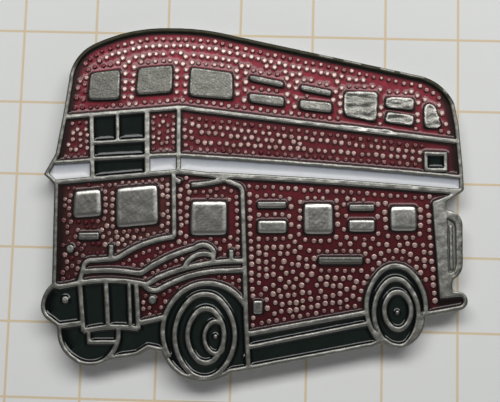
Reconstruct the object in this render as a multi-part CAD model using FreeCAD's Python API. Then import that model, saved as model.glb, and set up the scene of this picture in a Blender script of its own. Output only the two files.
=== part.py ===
"""A soft-enamel lapel pin in the form of a double-decker bus, with its butterfly clutch.

The pin is upright, as it is worn.  X runs to the right along the bus, Z is up, and the
face looks along -Y.  The origin is on the post's axis, at the back of the plate, so the
post and the clutch lie along +Y.

The artwork is drawn flat, as X and "up", and every flat shape is stood up when it is
finished.  Wherever a path is given, a leg of two numbers is a straight run to that point,
and a leg of four numbers is an arc through its first point to its second.
"""

import FreeCAD
import Part
import math
import os
from collections import namedtuple

os.makedirs("parts", exist_ok=True)

# ---------------------------------------------------------------- driving sizes (mm)
badge_width = 27.90          # tip of the wing mirror to the end of the rear platform
floor_thickness = 1.25       # die-cast plate under the enamel
relief_height = 0.45         # ridges above that floor
pad_rise = 0.06              # windows stand this much above the ridges
enamel_depth = 0.30          # enamel poured into each cell
rim_width = 0.26             # wall round the whole outline
ridge_width = 0.28           # ordinary dividing ridge
fine_ridge = 0.22            # thinner ones
bold_ridge = 0.34            # heavier ones
pad_bevel = 0.12             # worn front edge of a window
groove_depth = 0.20          # bare channel inside the hand rail
rail_bar_rise = 0.10         # the low bar along that channel

post_diameter = 1.10
post_length = 8.00           # from the back of the plate to the tip
post_point_length = 0.90
post_tip_radius = 0.12
post_groove_depth = 0.14
post_groove_width = 0.50
post_groove_from_tip = 1.70
foot_diameter = 2.60         # solder foot of the post
foot_thickness = 0.35

cloth_gap = 1.20             # lapel between the plate and the clutch
clutch_diameter = 11.40
clutch_sheet = 0.30
clutch_rim_height = 0.90     # turned-up edge of the disc
clutch_hole_diameter = 1.40
crown_diameter = 2.10        # flat ring round the hole, pressed up from the disc
funnel_diameter = 3.60       # where that pressing starts
funnel_depth = 0.25
cap_diameter = 7.20
cap_height = 2.30
cap_sheet = 0.25
cap_slot_width = 3.20        # window that the spring's wings come out of
cap_slot_length = 5.60
spring_sheet = 0.22
spring_width = 2.70
spring_fold_height = 0.80    # between the two limbs of each fold
spring_side_clearance = 0.15 # between each fold and the cap's wall
jaw_clearance = 0.12         # between each jaw and the post
jaw_round = 0.30             # bend that grips the post
wing_height = 2.50           # above the cap
wing_spread = 4.60           # between the wings' tips
wing_width = 4.20
wing_lift = 0.35             # they broaden this far above the cap

# ---------------------------------------------------------------- outline of the bus
Outline = namedtuple("Outline", "start legs")

bus_outline = Outline(
    start=(-13.72, 1.62),                       # mirror tip
    legs=(
        (-12.97, 3.00),
        (-12.46, 6.00),
        (-12.18, 8.00),
        (-11.63, 9.60, -10.42, 10.58),          # round front corner of the roof
        (-8.12, 11.36, -5.50, 11.61),
        (-3.00, 11.45, -1.00, 11.04),
        (11.50, 8.21),                          # roof line falls away to the rear
        (12.97, 7.37, 13.67, 6.35),
        (13.94, 4.80),
        (14.13, 2.00),
        (14.17, 0.68),
        (14.14, 0.48, 14.00, 0.36),
        (13.24, -0.14),
        (12.98, -0.46, 13.10, -0.84),           # nick over the hand rail
        (13.76, -1.16, 14.02, -1.85),
        (13.97, -4.40),
        (13.79, -4.98, 13.28, -5.42),
        (13.25, -5.95),
        (13.34, -6.13, 13.55, -6.18),           # nick under the hand rail
        (13.83, -6.22),
        (14.23, -6.76, 13.82, -7.36),           # end of the platform
        (11.42, -7.80),
        (11.05, -9.04, 9.85, -9.84),            # rear wheel
        (9.30, -9.78, 8.75, -9.45),
        (8.00, -9.75),
        (0.00, -11.24),                         # bottom of the skirt
        (-1.20, -11.44),
        (-2.95, -12.00, -4.50, -11.62),         # front wheel
        (-5.25, -10.95, -5.70, -10.08),
        (-6.60, -9.90),
        (-7.30, -10.36),
        (-9.20, -10.62),
        (-10.40, -11.02, -11.55, -10.62),       # wheel on the far side
        (-12.28, -9.85, -12.58, -8.50),
        (-13.10, -8.10),
        (-13.58, -7.62, -13.69, -7.00),         # wing on the far side
        (-13.48, -6.25, -13.00, -5.65),
        (-13.00, 0.90),
        (-13.10, 1.05),
        (-13.72, 1.62),
    ),
)

# ---------------------------------------------------------------- ridges of the relief
Ridge = namedtuple("Ridge", "name width start legs")

ridges = (
    # upper deck
    Ridge("waist", ridge_width, (-12.45, 5.52),
          ((-5.20, 6.09), (-4.60, 6.14, -4.00, 6.05), (13.75, 3.76))),
    Ridge("waist flattened", bold_ridge, (6.10, 4.77), ((9.50, 4.33),)),
    Ridge("corner post", ridge_width, (-4.74, 6.08), ((-4.74, 1.70),)),
    Ridge("blind left", ridge_width, (-10.62, 5.65), ((-10.45, 1.23),)),
    Ridge("blind middle", fine_ridge, (-8.87, 5.80), ((-8.82, 3.85),)),
    Ridge("blind right", bold_ridge, (-6.88, 5.95), ((-6.80, 1.52),)),
    Ridge("blind upper bar", fine_ridge, (-10.53, 3.75), ((-6.85, 3.95),)),
    Ridge("blind lower bar", fine_ridge, (-10.50, 2.66), ((-6.82, 2.84),)),
    # white band between the decks
    Ridge("band top front", fine_ridge, (-13.00, 2.42), ((-10.50, 2.58),)),
    Ridge("band top corner", fine_ridge, (-6.80, 2.86), ((-4.74, 2.95),)),
    Ridge("band top side", fine_ridge, (-4.74, 2.91),
          ((5.00, 2.20, 13.95, 1.39),)),
    Ridge("band bottom front", ridge_width, (-13.10, 1.08),
          ((-5.50, 1.73), (-4.60, 1.77, -3.60, 1.68), (-2.40, 1.53))),
    Ridge("band bottom side", bold_ridge, (-2.60, 1.56),
          ((5.00, 1.11, 14.00, 0.37),)),
    # driver's cab
    Ridge("cab front pillar", ridge_width, (-5.05, 1.65), ((-4.97, -2.56),)),
    Ridge("cab pillar lamp", ridge_width, (-4.98, 1.27), ((-4.58, 1.08),)),
    Ridge("cab corner", ridge_width, (-2.50, 1.56),
          ((-0.98, 0.96), (-0.58, 0.70, -0.46, 0.25), (-0.33, -4.00), (-0.22, -8.00),
           (-0.05, -11.30))),
    Ridge("cab brow", ridge_width, (-3.87, 0.88),
          ((-2.95, 0.97), (-1.80, 1.18))),
    # bonnet and radiator
    Ridge("bonnet top", ridge_width, (-11.20, -5.61),
          ((-10.93, -4.56), (-10.75, -4.21, -10.35, -4.11), (-9.20, -4.03),
           (-8.78, -3.97, -8.40, -3.77), (-6.80, -2.97, -4.95, -2.56))),
    Ridge("bonnet side", ridge_width, (-10.98, -4.87),
          ((-9.20, -4.77, -7.50, -4.93), (-7.12, -4.93, -6.80, -4.73),
           (-5.05, -3.79, -3.60, -3.31), (-2.66, -3.21, -2.33, -3.61), (-2.42, -4.33))),
    Ridge("radiator top", ridge_width, (-13.10, -5.72),
          ((-12.45, -5.85), (-11.20, -5.60), (-9.40, -5.43, -6.70, -5.74))),
    Ridge("radiator left", ridge_width, (-11.17, -5.60), ((-10.87, -8.75),)),
    Ridge("radiator bar 1", ridge_width, (-9.45, -5.43), ((-9.25, -8.48),)),
    Ridge("radiator bar 2", fine_ridge, (-7.92, -5.54), ((-7.78, -8.55),)),
    Ridge("radiator right", ridge_width, (-7.45, -5.60), ((-7.25, -8.60),)),
    Ridge("radiator foot", ridge_width, (-10.88, -8.75),
          ((-9.10, -8.48, -7.25, -8.60),)),
    Ridge("number plate", fine_ridge, (-10.52, -8.65), ((-10.50, -9.47), (-8.50, -9.45))),
    # wings
    Ridge("wing upper", ridge_width, (-6.94, -5.83),
          ((-6.00, -5.24), (-3.40, -4.44, -0.35, -4.17))),
    Ridge("wing lower", ridge_width, (-6.96, -5.65),
          ((-6.40, -6.08, -5.90, -6.01), (-3.70, -5.08, -2.00, -4.81), (-0.33, -4.75))),
    Ridge("wing curl", ridge_width, (-4.28, -4.62), ((-3.55, -3.80, -2.40, -3.84),)),
    Ridge("far wing", ridge_width, (-13.25, -7.90),
          ((-12.85, -8.30, -12.40, -8.40), (-10.92, -8.22))),
    Ridge("far wheel edge", ridge_width, (-8.57, -8.55),
          ((-8.57, -9.20), (-8.80, -9.90, -9.42, -10.65))),
    Ridge("sill", ridge_width, (-7.25, -8.22), ((-5.55, -7.84),)),
    # skirt and rear platform
    Ridge("skirt top", ridge_width, (-0.18, -8.95), ((7.72, -7.52),)),
    Ridge("skirt middle", fine_ridge, (-0.14, -9.79), ((7.82, -8.23),)),
    Ridge("platform edge", ridge_width, (12.42, -6.48), ((13.90, -6.33),)),
    # short posts on the bonnet
    Ridge("filler cap", ridge_width, (-9.13, -3.10), ((-9.15, -4.03),)),
    Ridge("lamp bracket", ridge_width, (-1.20, -3.45), ((-1.20, -4.19),)),
)

Ring = namedtuple("Ring", "name width x up half_width half_height left right low")
# left, right and low trim a ring to the part of it that shows
rings = (
    Ring("front arch", ridge_width, -2.75, -8.76, 2.92, 3.14, -6.0, -0.30, -10.40),
    Ring("front tyre", ridge_width, -2.92, -9.05, 1.97, 2.72, -5.2, -0.6, -12.0),
    Ring("front rim", ridge_width, -2.85, -9.03, 1.20, 1.76, -5.0, -1.0, -11.0),
    Ring("front hub", fine_ridge, -2.20, -9.15, 0.75, 1.05, -3.1, -1.60, -11.0),
    Ring("rear arch", ridge_width, 9.57, -7.22, 1.94, 2.73, 7.4, 11.7, -9.60),
    Ring("rear tyre", ridge_width, 9.57, -7.60, 1.45, 2.25, 7.8, 11.4, -9.9),
    Ring("rear rim", ridge_width, 9.67, -7.42, 0.88, 1.22, 8.5, 10.8, -9.0),
)

Stud = namedtuple("Stud", "name x up radius sides")
studs = (
    Stud("side lamp", -11.85, -3.35, 0.25, 12),
    Stud("far head lamp", -12.10, -6.70, 0.22, 12),
    Stud("near head lamp", -6.37, -6.70, 0.25, 12),
    Stud("front hub nut", -2.22, -9.08, 0.14, 6),
    Stud("rear hub nut", 9.64, -7.54, 0.14, 6),
)

# ---------------------------------------------------------------- windows and lamps
Pad = namedtuple("Pad", "name corners")
pads = (
    Pad("front window left", ((-10.87, 6.70), (-10.72, 8.50), (-8.72, 8.75), (-8.76, 6.72))),
    Pad("front window right", ((-7.63, 7.02), (-7.48, 8.85), (-5.18, 9.02), (-5.22, 7.18))),
    Pad("upper window 1", ((-4.05, 6.95), (-3.95, 8.88), (-1.15, 8.48), (-1.12, 6.68))),
    Pad("upper window 2 vent", ((0.00, 8.00), (0.02, 8.34), (2.28, 7.86), (2.28, 7.50))),
    Pad("upper window 2", ((0.00, 6.52), (-0.05, 7.08), (2.30, 6.80), (2.30, 6.18))),
    Pad("upper window 3 vent", ((3.42, 7.32), (3.44, 7.66), (5.50, 7.24), (5.48, 6.88))),
    Pad("upper window 3", ((3.38, 6.02), (3.35, 6.62), (5.50, 6.40), (5.50, 5.75))),
    Pad("upper window 4", ((6.35, 5.57), (6.40, 7.19), (8.58, 7.08), (8.42, 5.14))),
    Pad("upper window 5 vent", ((9.10, 6.12), (9.13, 6.76), (10.98, 6.67), (10.96, 5.90))),
    Pad("upper window 5", ((9.06, 5.12), (9.20, 5.80), (10.97, 5.46), (10.92, 4.84))),
    Pad("upper window 6", ((11.67, 4.72), (11.69, 6.14), (11.97, 6.35), (12.34, 6.18),
                           (12.75, 4.97), (12.68, 4.68))),
    Pad("windscreen left", ((-11.70, -1.28), (-11.64, 0.48), (-9.90, 0.64), (-9.81, -1.15))),
    Pad("windscreen right", ((-8.79, -1.93), (-8.85, 0.68), (-6.13, 0.92), (-6.03, -1.68))),
    Pad("cab window", ((-3.90, -2.45), (-3.85, -0.20), (-1.50, -0.20), (-1.50, -2.42))),
    Pad("lower window 1 vent", ((0.55, -0.64), (0.55, -0.26), (2.42, -0.26), (2.42, -0.64))),
    Pad("lower window 1", ((0.55, -2.30), (0.55, -1.50), (2.45, -1.50), (2.45, -2.30))),
    Pad("lower window 2", ((3.60, -2.37), (3.60, -0.37), (5.50, -0.37), (5.50, -2.37))),
    Pad("lower window 3 vent", ((6.60, -0.83), (6.60, -0.46), (8.22, -0.46), (8.22, -0.83))),
    Pad("lower window 3", ((6.55, -2.22), (6.55, -1.47), (8.25, -1.47), (8.25, -2.22))),
    Pad("lower window 4", ((9.30, -2.17), (9.30, -0.57), (11.00, -0.57), (11.00, -2.17))),
    Pad("side panel", ((4.55, -4.36), (4.55, -3.92), (7.42, -3.92), (7.42, -4.36))),
    Pad("radiator badge", ((-11.30, -2.72), (-11.30, -2.30), (-9.96, -2.28), (-9.96, -2.70))),
    Pad("step lamp", ((0.25, -7.60), (0.25, -6.77), (0.85, -6.77), (0.85, -7.60))),
)

# ---------------------------------------------------------------- bare metal at the rear
rear_pole = ((12.08, -0.38), (12.16, -0.26), (13.90, 0.44), (14.60, 0.44),
             (14.60, -6.26), (13.60, -6.28), (12.42, -6.48))
rail_channel = ((13.02, -1.30), (13.48, -1.60), (13.58, -2.00), (13.56, -4.45),
                (13.42, -4.88), (13.02, -5.02))
rail_bar = ((13.12, -1.80), (13.38, -1.80), (13.38, -4.78), (13.12, -4.78))
rear_frame = ((11.60, 1.76), (11.60, 3.08), (13.13, 3.02), (13.11, 1.74))

# ---------------------------------------------------------------- enamel
Pool = namedtuple("Pool", "node x up")        # a point of the cell that the enamel fills
pools = (
    Pool("enamel_red_roof", -0.80, 9.60),
    Pool("enamel_red_upper_front", -11.70, 4.00),
    Pool("enamel_red_upper_corner", -5.70, 4.40),
    Pool("enamel_red_upper_side", 4.00, 3.90),
    Pool("enamel_red_lower_front", -12.30, -2.00),
    Pool("enamel_red_cab", -4.40, -1.50),
    Pool("enamel_red_bonnet_side", -9.00, -5.00),
    Pool("enamel_red_wing_inside", -3.20, -4.05),
    Pool("enamel_red_wing_edge", -3.00, -4.55),
    Pool("enamel_red_front_wing", -6.40, -7.30),
    Pool("enamel_red_lower_side", 4.00, -6.00),
    Pool("enamel_white_band_front", -12.00, 1.80),
    Pool("enamel_white_band_corner", -5.70, 2.30),
    Pool("enamel_white_band_side", 5.00, 1.70),
    Pool("enamel_black_blind_1", -9.70, 4.80),
    Pool("enamel_black_blind_2", -7.90, 4.90),
    Pool("enamel_black_blind_3", -8.70, 3.30),
    Pool("enamel_black_blind_4", -8.70, 2.20),
    Pool("enamel_black_rear_frame", 12.36, 2.40),
    Pool("enamel_black_far_wing", -12.50, -7.30),
    Pool("enamel_black_radiator_1", -10.20, -7.00),
    Pool("enamel_black_radiator_2", -8.60, -7.00),
    Pool("enamel_black_radiator_3", -7.60, -7.00),
    Pool("enamel_black_number_plate", -9.50, -8.95),
    Pool("enamel_black_far_wheel", -10.50, -10.00),
    Pool("enamel_black_chassis", -7.50, -9.30),
    Pool("enamel_black_front_arch", -5.30, -9.00),
    Pool("enamel_black_front_tyre", -4.50, -9.00),
    Pool("enamel_black_front_rim", -3.50, -9.00),
    Pool("enamel_black_front_hub", -2.30, -9.50),
    Pool("enamel_black_skirt_upper", 4.00, -8.50),
    Pool("enamel_black_skirt_lower", 4.00, -9.50),
    Pool("enamel_black_rear_arch", 7.95, -7.00),
    Pool("enamel_black_rear_tyre", 8.48, -7.50),
    Pool("enamel_black_rear_rim", 9.20, -7.20),
)

# ---------------------------------------------------------------- worked-out places
outline_xs = [x for leg in bus_outline.legs for x in leg[0::2]]
drawn_width = max(outline_xs) - min(outline_xs)
art_scale = badge_width / drawn_width
relief_top = floor_thickness + relief_height
pad_top = relief_top + pad_rise
FLAT_UP = FreeCAD.Vector(0, 0, 1)
ABOVE = 1.0                                    # cutters run this far past what they cut


# ---------------------------------------------------------------- flat shapes
def at(x, up, height=0.0):
    """A point of the flat artwork, at the size of the badge."""
    return FreeCAD.Vector(x * art_scale, up * art_scale, height)


def path_edges(start, legs):
    """The straight and round edges of a path."""
    edges = []
    here = at(*start)
    for leg in legs:
        end = at(*leg[-2:])
        if len(leg) == 2:
            edges.append(Part.makeLine(here, end))
        else:
            edges.append(Part.Arc(here, at(*leg[:2]), end).toShape())
        here = end
    return edges


def bar_face(start, end, width):
    """A straight ridge seen from the front."""
    side = FLAT_UP.cross((end - start).normalize()) * (width / 2)
    corners = [start + side, end + side, end - side, start - side, start + side]
    return Part.Face(Part.makePolygon(corners))


def ribbon_faces(edges, width):
    """The two halves of a path that is thickened evenly to both sides."""
    path = Part.Wire(edges)
    return [
        path.makeOffset2D(side * width / 2, join=0, fill=True, openResult=True)
        for side in (1, -1)
    ]


def ridge_faces(ridge):
    """What one ridge covers."""
    if len(ridge.legs) == 1 and len(ridge.legs[0]) == 2:
        return [bar_face(at(*ridge.start), at(*ridge.legs[0]), ridge.width)]
    return ribbon_faces(path_edges(ridge.start, ridge.legs), ridge.width)


def oval_face(middle, half_width, half_height):
    """A filled upright oval of four tangent arcs that meet at 45 degrees.

    With the arcs' centres on the oval's axes, one distance sets all four: the flat arcs'
    centres lie that far to the side, and the tight arcs' centres as far up and down.
    """
    centre_distance = (half_height - half_width) / (2 - math.sqrt(2))
    flat_radius = half_width + centre_distance
    join_x = flat_radius / math.sqrt(2) - centre_distance
    join_up = flat_radius / math.sqrt(2)
    points = [
        (half_width, 0), (join_x, join_up), (0, half_height), (-join_x, join_up),
        (-half_width, 0), (-join_x, -join_up), (0, -half_height), (join_x, -join_up),
    ]
    points = [middle + FreeCAD.Vector(x, up, 0) for x, up in points]
    arcs = [
        Part.Arc(points[first - 1], points[first], points[(first + 1) % 8]).toShape()
        for first in (0, 2, 4, 6)
    ]
    return Part.Face(Part.Wire(arcs))


def ring_face(ring):
    """An oval ring of even width, trimmed to the part of it that shows."""
    half = ring.width / 2
    middle = at(ring.x, ring.up)
    wide = ring.half_width * art_scale
    high = ring.half_height * art_scale
    outer = oval_face(middle, wide + half, high + half)
    inner = oval_face(middle, wide - half, high - half)
    corners = ((ring.left, ring.low), (ring.right, ring.low), (ring.right, 0), (ring.left, 0))
    return outer.cut(inner).common(polygon_face(corners))


def polygon_face(corners):
    """A flat face with sharp corners."""
    points = [at(*corner) for corner in corners]
    return Part.Face(Part.makePolygon(points + points[:1]))


def stud_face(stud):
    """A lamp or a hub nut seen from the front, as a regular polygon."""
    middle = at(stud.x, stud.up)
    turns = [2 * math.pi * side / stud.sides for side in range(stud.sides)]
    points = [
        middle + FreeCAD.Vector(math.cos(turn), math.sin(turn), 0) * stud.radius
        for turn in turns
    ]
    return Part.Face(Part.makePolygon(points + points[:1]))


def prism(face, low, high):
    """A flat face given a thickness, from one height to another."""
    solid = face.extrude(FLAT_UP * (high - low))
    solid.translate(FLAT_UP * low)
    return solid


def stand_up(shape):
    """Turn a finished flat shape upright: its front then looks along -Y."""
    shape.rotate(FreeCAD.Vector(0, 0, 0), FreeCAD.Vector(1, 0, 0), 90)
    return shape


# ---------------------------------------------------------------- plate and enamel
def cell_at(cells, pool):
    """The cell of the relief that holds a pool's point."""
    point = at(pool.x, pool.up)
    return next(cell for cell in cells if cell.isInside(point, 1e-6, True))


def window_solid(pad):
    """A raised window with its front edge bevelled."""
    solid = prism(polygon_face(pad.corners), floor_thickness, pad_top)
    front = [edge for edge in solid.Edges if edge.BoundBox.ZMin > pad_top - 1e-6]
    return solid.makeChamfer(pad_bevel, front)


def make_plate_and_pools():
    """The die-cast plate with its relief, and the enamel that fills each cell."""
    outline_wire = Part.Wire(path_edges(bus_outline.start, bus_outline.legs))
    inside_rim = Part.Face(outline_wire.makeOffset2D(-rim_width, join=0))
    frame_outer = polygon_face(rear_frame)
    frame_inner = Part.Face(frame_outer.OuterWire.makeOffset2D(-fine_ridge, join=2))
    walls = [face for ridge in ridges for face in ridge_faces(ridge)]
    walls += [ring_face(ring) for ring in rings]
    walls += [stud_face(stud) for stud in studs]
    walls += [polygon_face(rear_pole), frame_outer.cut(frame_inner)]
    cells = inside_rim.cut(walls).Faces
    window_faces = [polygon_face(pad.corners) for pad in pads]

    plate = prism(Part.Face(outline_wire), 0, relief_top)
    enamel_top = floor_thickness + enamel_depth
    solids = {}
    hollows = []
    for pool in pools:
        cell = cell_at(cells, pool)
        hollows.append(prism(cell, floor_thickness, relief_top + ABOVE))
        filled = cell.cut(window_faces).Faces[0]
        solids[pool.node] = prism(filled, floor_thickness, enamel_top)
    channel_floor = relief_top - groove_depth
    hollows.append(prism(polygon_face(rail_channel), channel_floor, relief_top + ABOVE))
    plate = plate.cut(hollows)
    raised = [window_solid(pad) for pad in pads]
    raised.append(prism(polygon_face(rail_bar), channel_floor, channel_floor + rail_bar_rise))
    solids["base_plate"] = plate.fuse(raised).removeSplitter()
    return {name: stand_up(solid) for name, solid in solids.items()}


# ---------------------------------------------------------------- post and clutch
def turned(profile):
    """A solid of revolution about the post's axis, from (radius, distance along) points."""
    points = [FreeCAD.Vector(radius, along, 0) for radius, along in profile]
    face = Part.Face(Part.makePolygon(points + points[:1]))
    return face.revolve(FreeCAD.Vector(0, 0, 0), FreeCAD.Vector(0, 1, 0), 360)


def make_post():
    """The nail soldered to the back: a flat foot, a shank with a grip groove, and a point."""
    radius = post_diameter / 2
    groove_radius = radius - post_groove_depth
    groove_end = post_length - post_groove_from_tip
    groove_start = groove_end - post_groove_width
    shoulder = post_length - post_point_length
    return turned((
        (0, 0),
        (foot_diameter / 2, 0),
        (foot_diameter / 2, foot_thickness),
        (radius, foot_thickness),
        (radius, groove_start),
        (groove_radius, groove_start),
        (groove_radius, groove_end),
        (radius, groove_end),
        (radius, shoulder),
        (post_tip_radius, post_length),
        (0, post_length),
    ))


def make_clutch_disc():
    """The pressed disc: a flat face, a turned-up rim and a raised crown round the hole."""
    outer = clutch_diameter / 2
    inner = outer - clutch_sheet
    hole = clutch_hole_diameter / 2
    front = cloth_gap
    back = front + clutch_sheet
    return turned((
        (hole, front + funnel_depth),
        (crown_diameter / 2, front + funnel_depth),
        (funnel_diameter / 2, front),
        (outer, front),
        (outer, front + clutch_rim_height),
        (inner, front + clutch_rim_height),
        (inner, back),
        (funnel_diameter / 2, back),
        (crown_diameter / 2, back + funnel_depth),
        (hole, back + funnel_depth),
    ))


def make_clutch_cap():
    """The cup that holds the spring down on the disc, with a window for the wings."""
    base = cloth_gap + clutch_sheet
    outer = cap_diameter / 2
    inner = outer - cap_sheet
    top = base + cap_height
    cup = turned(((inner, base), (outer, base), (outer, top), (0, top),
                  (0, top - cap_sheet), (inner, top - cap_sheet)))
    window = Part.makeBox(
        cap_slot_length, cap_sheet + 2 * ABOVE, cap_slot_width,
        FreeCAD.Vector(-cap_slot_length / 2, top - cap_sheet - ABOVE, -cap_slot_width / 2),
    )
    return cup.cut(window)


def make_clutch_spring():
    """The folded spring strip: a base on the crown, two folds, two jaws and two wings.

    Its path lies in X and along the post, and is drawn from wing tip to wing tip.
    """
    half = spring_sheet / 2
    seat = cloth_gap + clutch_sheet + funnel_depth + half
    limb = seat + spring_fold_height
    cap_inner = cap_diameter / 2 - cap_sheet
    fold_x = math.sqrt(cap_inner ** 2 - (spring_width / 2) ** 2) - spring_side_clearance - half
    fold_round = spring_fold_height / 2
    jaw_x = post_diameter / 2 + jaw_clearance + half
    bend = jaw_round + half
    bend_x = jaw_x + bend
    bend_along = limb + bend
    cap_top = cloth_gap + clutch_sheet + cap_height
    tip = (wing_spread / 2 - half, cap_top + wing_height)
    lean = math.atan2(tip[0] - bend_x, tip[1] - bend_along)
    lean += math.asin(bend / math.hypot(tip[0] - bend_x, tip[1] - bend_along))
    middle_turn = math.radians(225) - lean / 2
    bend_start = (bend_x, limb)
    bend_middle = (bend_x + bend * math.cos(middle_turn), bend_along + bend * math.sin(middle_turn))
    bend_end = (bend_x - bend * math.cos(lean), bend_along + bend * math.sin(lean))
    fold_low = (fold_x - fold_round, seat)
    fold_middle = (fold_x, seat + fold_round)
    fold_high = (fold_x - fold_round, limb)

    edges = [line_edge(mirrored(fold_low), fold_low)]
    for side in (lambda point: point, mirrored):
        edges.append(arc_edge(side(fold_low), side(fold_middle), side(fold_high)))
        edges.append(line_edge(side(fold_high), side(bend_start)))
        edges.append(arc_edge(side(bend_start), side(bend_middle), side(bend_end)))
        edges.append(line_edge(side(bend_end), side(tip)))
    inner_half, outer_half = ribbon_faces(Part.__sortEdges__(edges), spring_sheet)
    strip = inner_half.fuse(outer_half).removeSplitter().extrude(FreeCAD.Vector(0, 0, wing_width))
    strip.translate(FreeCAD.Vector(0, 0, -wing_width / 2))

    across = wing_spread + cap_diameter
    wing_end = cap_top + wing_height
    shoulder = cap_top + wing_lift
    narrow = Part.makeBox(across, wing_end, spring_width,
                          FreeCAD.Vector(-across / 2, 0, -spring_width / 2))
    ears = Part.makeCylinder(wing_width / 2, across,
                             FreeCAD.Vector(-across / 2, wing_end - wing_width / 2, 0),
                             FreeCAD.Vector(1, 0, 0))
    above_cap = Part.makeBox(across, wing_end, wing_width,
                             FreeCAD.Vector(-across / 2, shoulder, -wing_width / 2))
    spring = strip.common(narrow.fuse(ears.common(above_cap)))
    hole = Part.makeCylinder(clutch_hole_diameter / 2, spring_fold_height,
                             FreeCAD.Vector(0, seat - spring_fold_height / 2, 0),
                             FreeCAD.Vector(0, 1, 0))
    return spring.cut(hole)


def mirrored(point):
    """The same point on the other side of the post."""
    return (-point[0], point[1])


def line_edge(start, end):
    """A straight edge between two points in X and along the post."""
    return Part.makeLine(FreeCAD.Vector(*start, 0), FreeCAD.Vector(*end, 0))


def arc_edge(start, middle, end):
    """A round edge through three points in X and along the post."""
    points = [FreeCAD.Vector(*point, 0) for point in (start, middle, end)]
    return Part.Arc(*points).toShape()


# ---------------------------------------------------------------- write the pieces
def main():
    """Make every piece and write it to its own file."""
    pieces = make_plate_and_pools()
    pieces["post"] = make_post()
    pieces["clutch_disc"] = make_clutch_disc()
    pieces["clutch_cap"] = make_clutch_cap()
    pieces["clutch_spring"] = make_clutch_spring()
    for name, shape in pieces.items():
        solid = shape.Solids[0]
        print(f"{name}: {solid.Volume:.3f} mm3, {len(shape.Solids)} solid, valid {shape.isValid()}")
        solid.exportStep(os.path.join("parts", name + ".step"))


main()
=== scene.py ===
"""The looks of a soft-enamel lapel pin in the form of a double-decker bus.

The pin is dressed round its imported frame.  Sizes are in millimetres until a mesh is made,
and places come from the frame's own pieces.  X runs along the bus, Z is up, and "height"
is how far a point stands in front of the back of the plate, along -Y.
"""

from __future__ import annotations

import logging
import math
from dataclasses import dataclass, field
from enum import Enum
from functools import partial
from typing import Callable, Sequence

import bmesh
import bpy
import numpy as np
from mathutils import Matrix, Vector
from mathutils.geometry import delaunay_2d_cdt
from mathutils.kdtree import KDTree

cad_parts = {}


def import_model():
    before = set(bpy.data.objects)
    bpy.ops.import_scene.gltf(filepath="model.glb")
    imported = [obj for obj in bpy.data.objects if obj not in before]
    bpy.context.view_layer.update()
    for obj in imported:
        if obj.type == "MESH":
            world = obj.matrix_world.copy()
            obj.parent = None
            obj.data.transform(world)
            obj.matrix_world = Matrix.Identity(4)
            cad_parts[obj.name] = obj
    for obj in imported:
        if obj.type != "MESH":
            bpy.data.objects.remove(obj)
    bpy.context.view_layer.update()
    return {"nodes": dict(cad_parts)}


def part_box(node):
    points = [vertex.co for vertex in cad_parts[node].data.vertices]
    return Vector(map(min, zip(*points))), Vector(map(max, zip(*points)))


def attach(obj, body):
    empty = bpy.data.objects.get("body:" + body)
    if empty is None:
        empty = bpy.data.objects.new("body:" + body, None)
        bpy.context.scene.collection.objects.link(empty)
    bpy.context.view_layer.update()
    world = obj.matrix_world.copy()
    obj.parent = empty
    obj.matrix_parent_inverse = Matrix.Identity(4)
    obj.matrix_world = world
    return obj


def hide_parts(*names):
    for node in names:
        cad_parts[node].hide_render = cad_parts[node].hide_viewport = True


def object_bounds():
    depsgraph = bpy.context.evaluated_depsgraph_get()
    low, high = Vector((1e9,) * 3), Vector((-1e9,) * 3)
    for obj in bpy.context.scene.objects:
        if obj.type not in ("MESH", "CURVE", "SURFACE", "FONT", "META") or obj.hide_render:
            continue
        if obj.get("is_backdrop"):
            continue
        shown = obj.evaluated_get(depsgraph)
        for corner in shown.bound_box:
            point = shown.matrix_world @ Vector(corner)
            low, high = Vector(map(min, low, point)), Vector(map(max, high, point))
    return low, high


log = logging.getLogger("lapel_pin")

MM = 0.001
MERGE_MM = 0.002            # loose triangles are joined within this
LEVEL_TOLERANCE_MM = 0.004  # a face lies at a height if its corners are this near to it
SAMPLE_MM = 0.04            # spacing at which edges are softened and measured
NECK_MM = 0.008             # room kept where two edges are moved towards each other
NECK_SHARE = 0.75           # share of the move that is taken back there
LOOP_MM = 0.002             # a moved point this much too near its own edge lies in a loop
SHORTEST_MM = 0.004         # shortest step along a moved edge
ROW_SLACK_MM = 0.006        # a row's point may lie this much nearer to an edge than its row
FLAT_NORMAL = -0.99         # a face is flat and looks forward if its normal's Y is below this
FORWARD_NORMAL = -0.3       # and it looks forward at all if it is below this
WAVES = 9                   # waves in a random pattern
WAVE_SPREAD = (0.6, 1.7)    # their shortest and longest, as shares of the given length
CONTAINS_BATCH = 2000       # points that are tested against all edges at once
SEED = 41
BADGE = "badge"             # the body that every piece made here rides on
Colour = tuple[float, float, float]


# ------------------------------------------------------------------ flat regions
def soften(points: np.ndarray, softness: float) -> np.ndarray:
    """Resample a closed edge evenly and round its corners.

    Args:
        points: corners of the edge, one a row.
        softness: how far a corner's rounding reaches.

    Returns:
        Evenly spaced points of the softened edge.
    """
    closed = np.vstack([points, points[:1]])
    along = np.concatenate([[0.0], np.cumsum(np.hypot(*np.diff(closed, axis=0).T))])
    count = max(12, round(along[-1] / SAMPLE_MM))
    step = along[-1] / count
    stations = np.arange(count) * step
    even = np.column_stack([np.interp(stations, along, closed[:, axis]) for axis in (0, 1)])
    if not softness:
        return even
    reach = int(3 * softness / step) + 1
    offsets = np.arange(-reach, reach + 1)
    weights = np.exp(-0.5 * (offsets * step / softness) ** 2)
    weights /= weights.sum()
    return sum(w * np.roll(even, -o, axis=0) for w, o in zip(weights, offsets))


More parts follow.
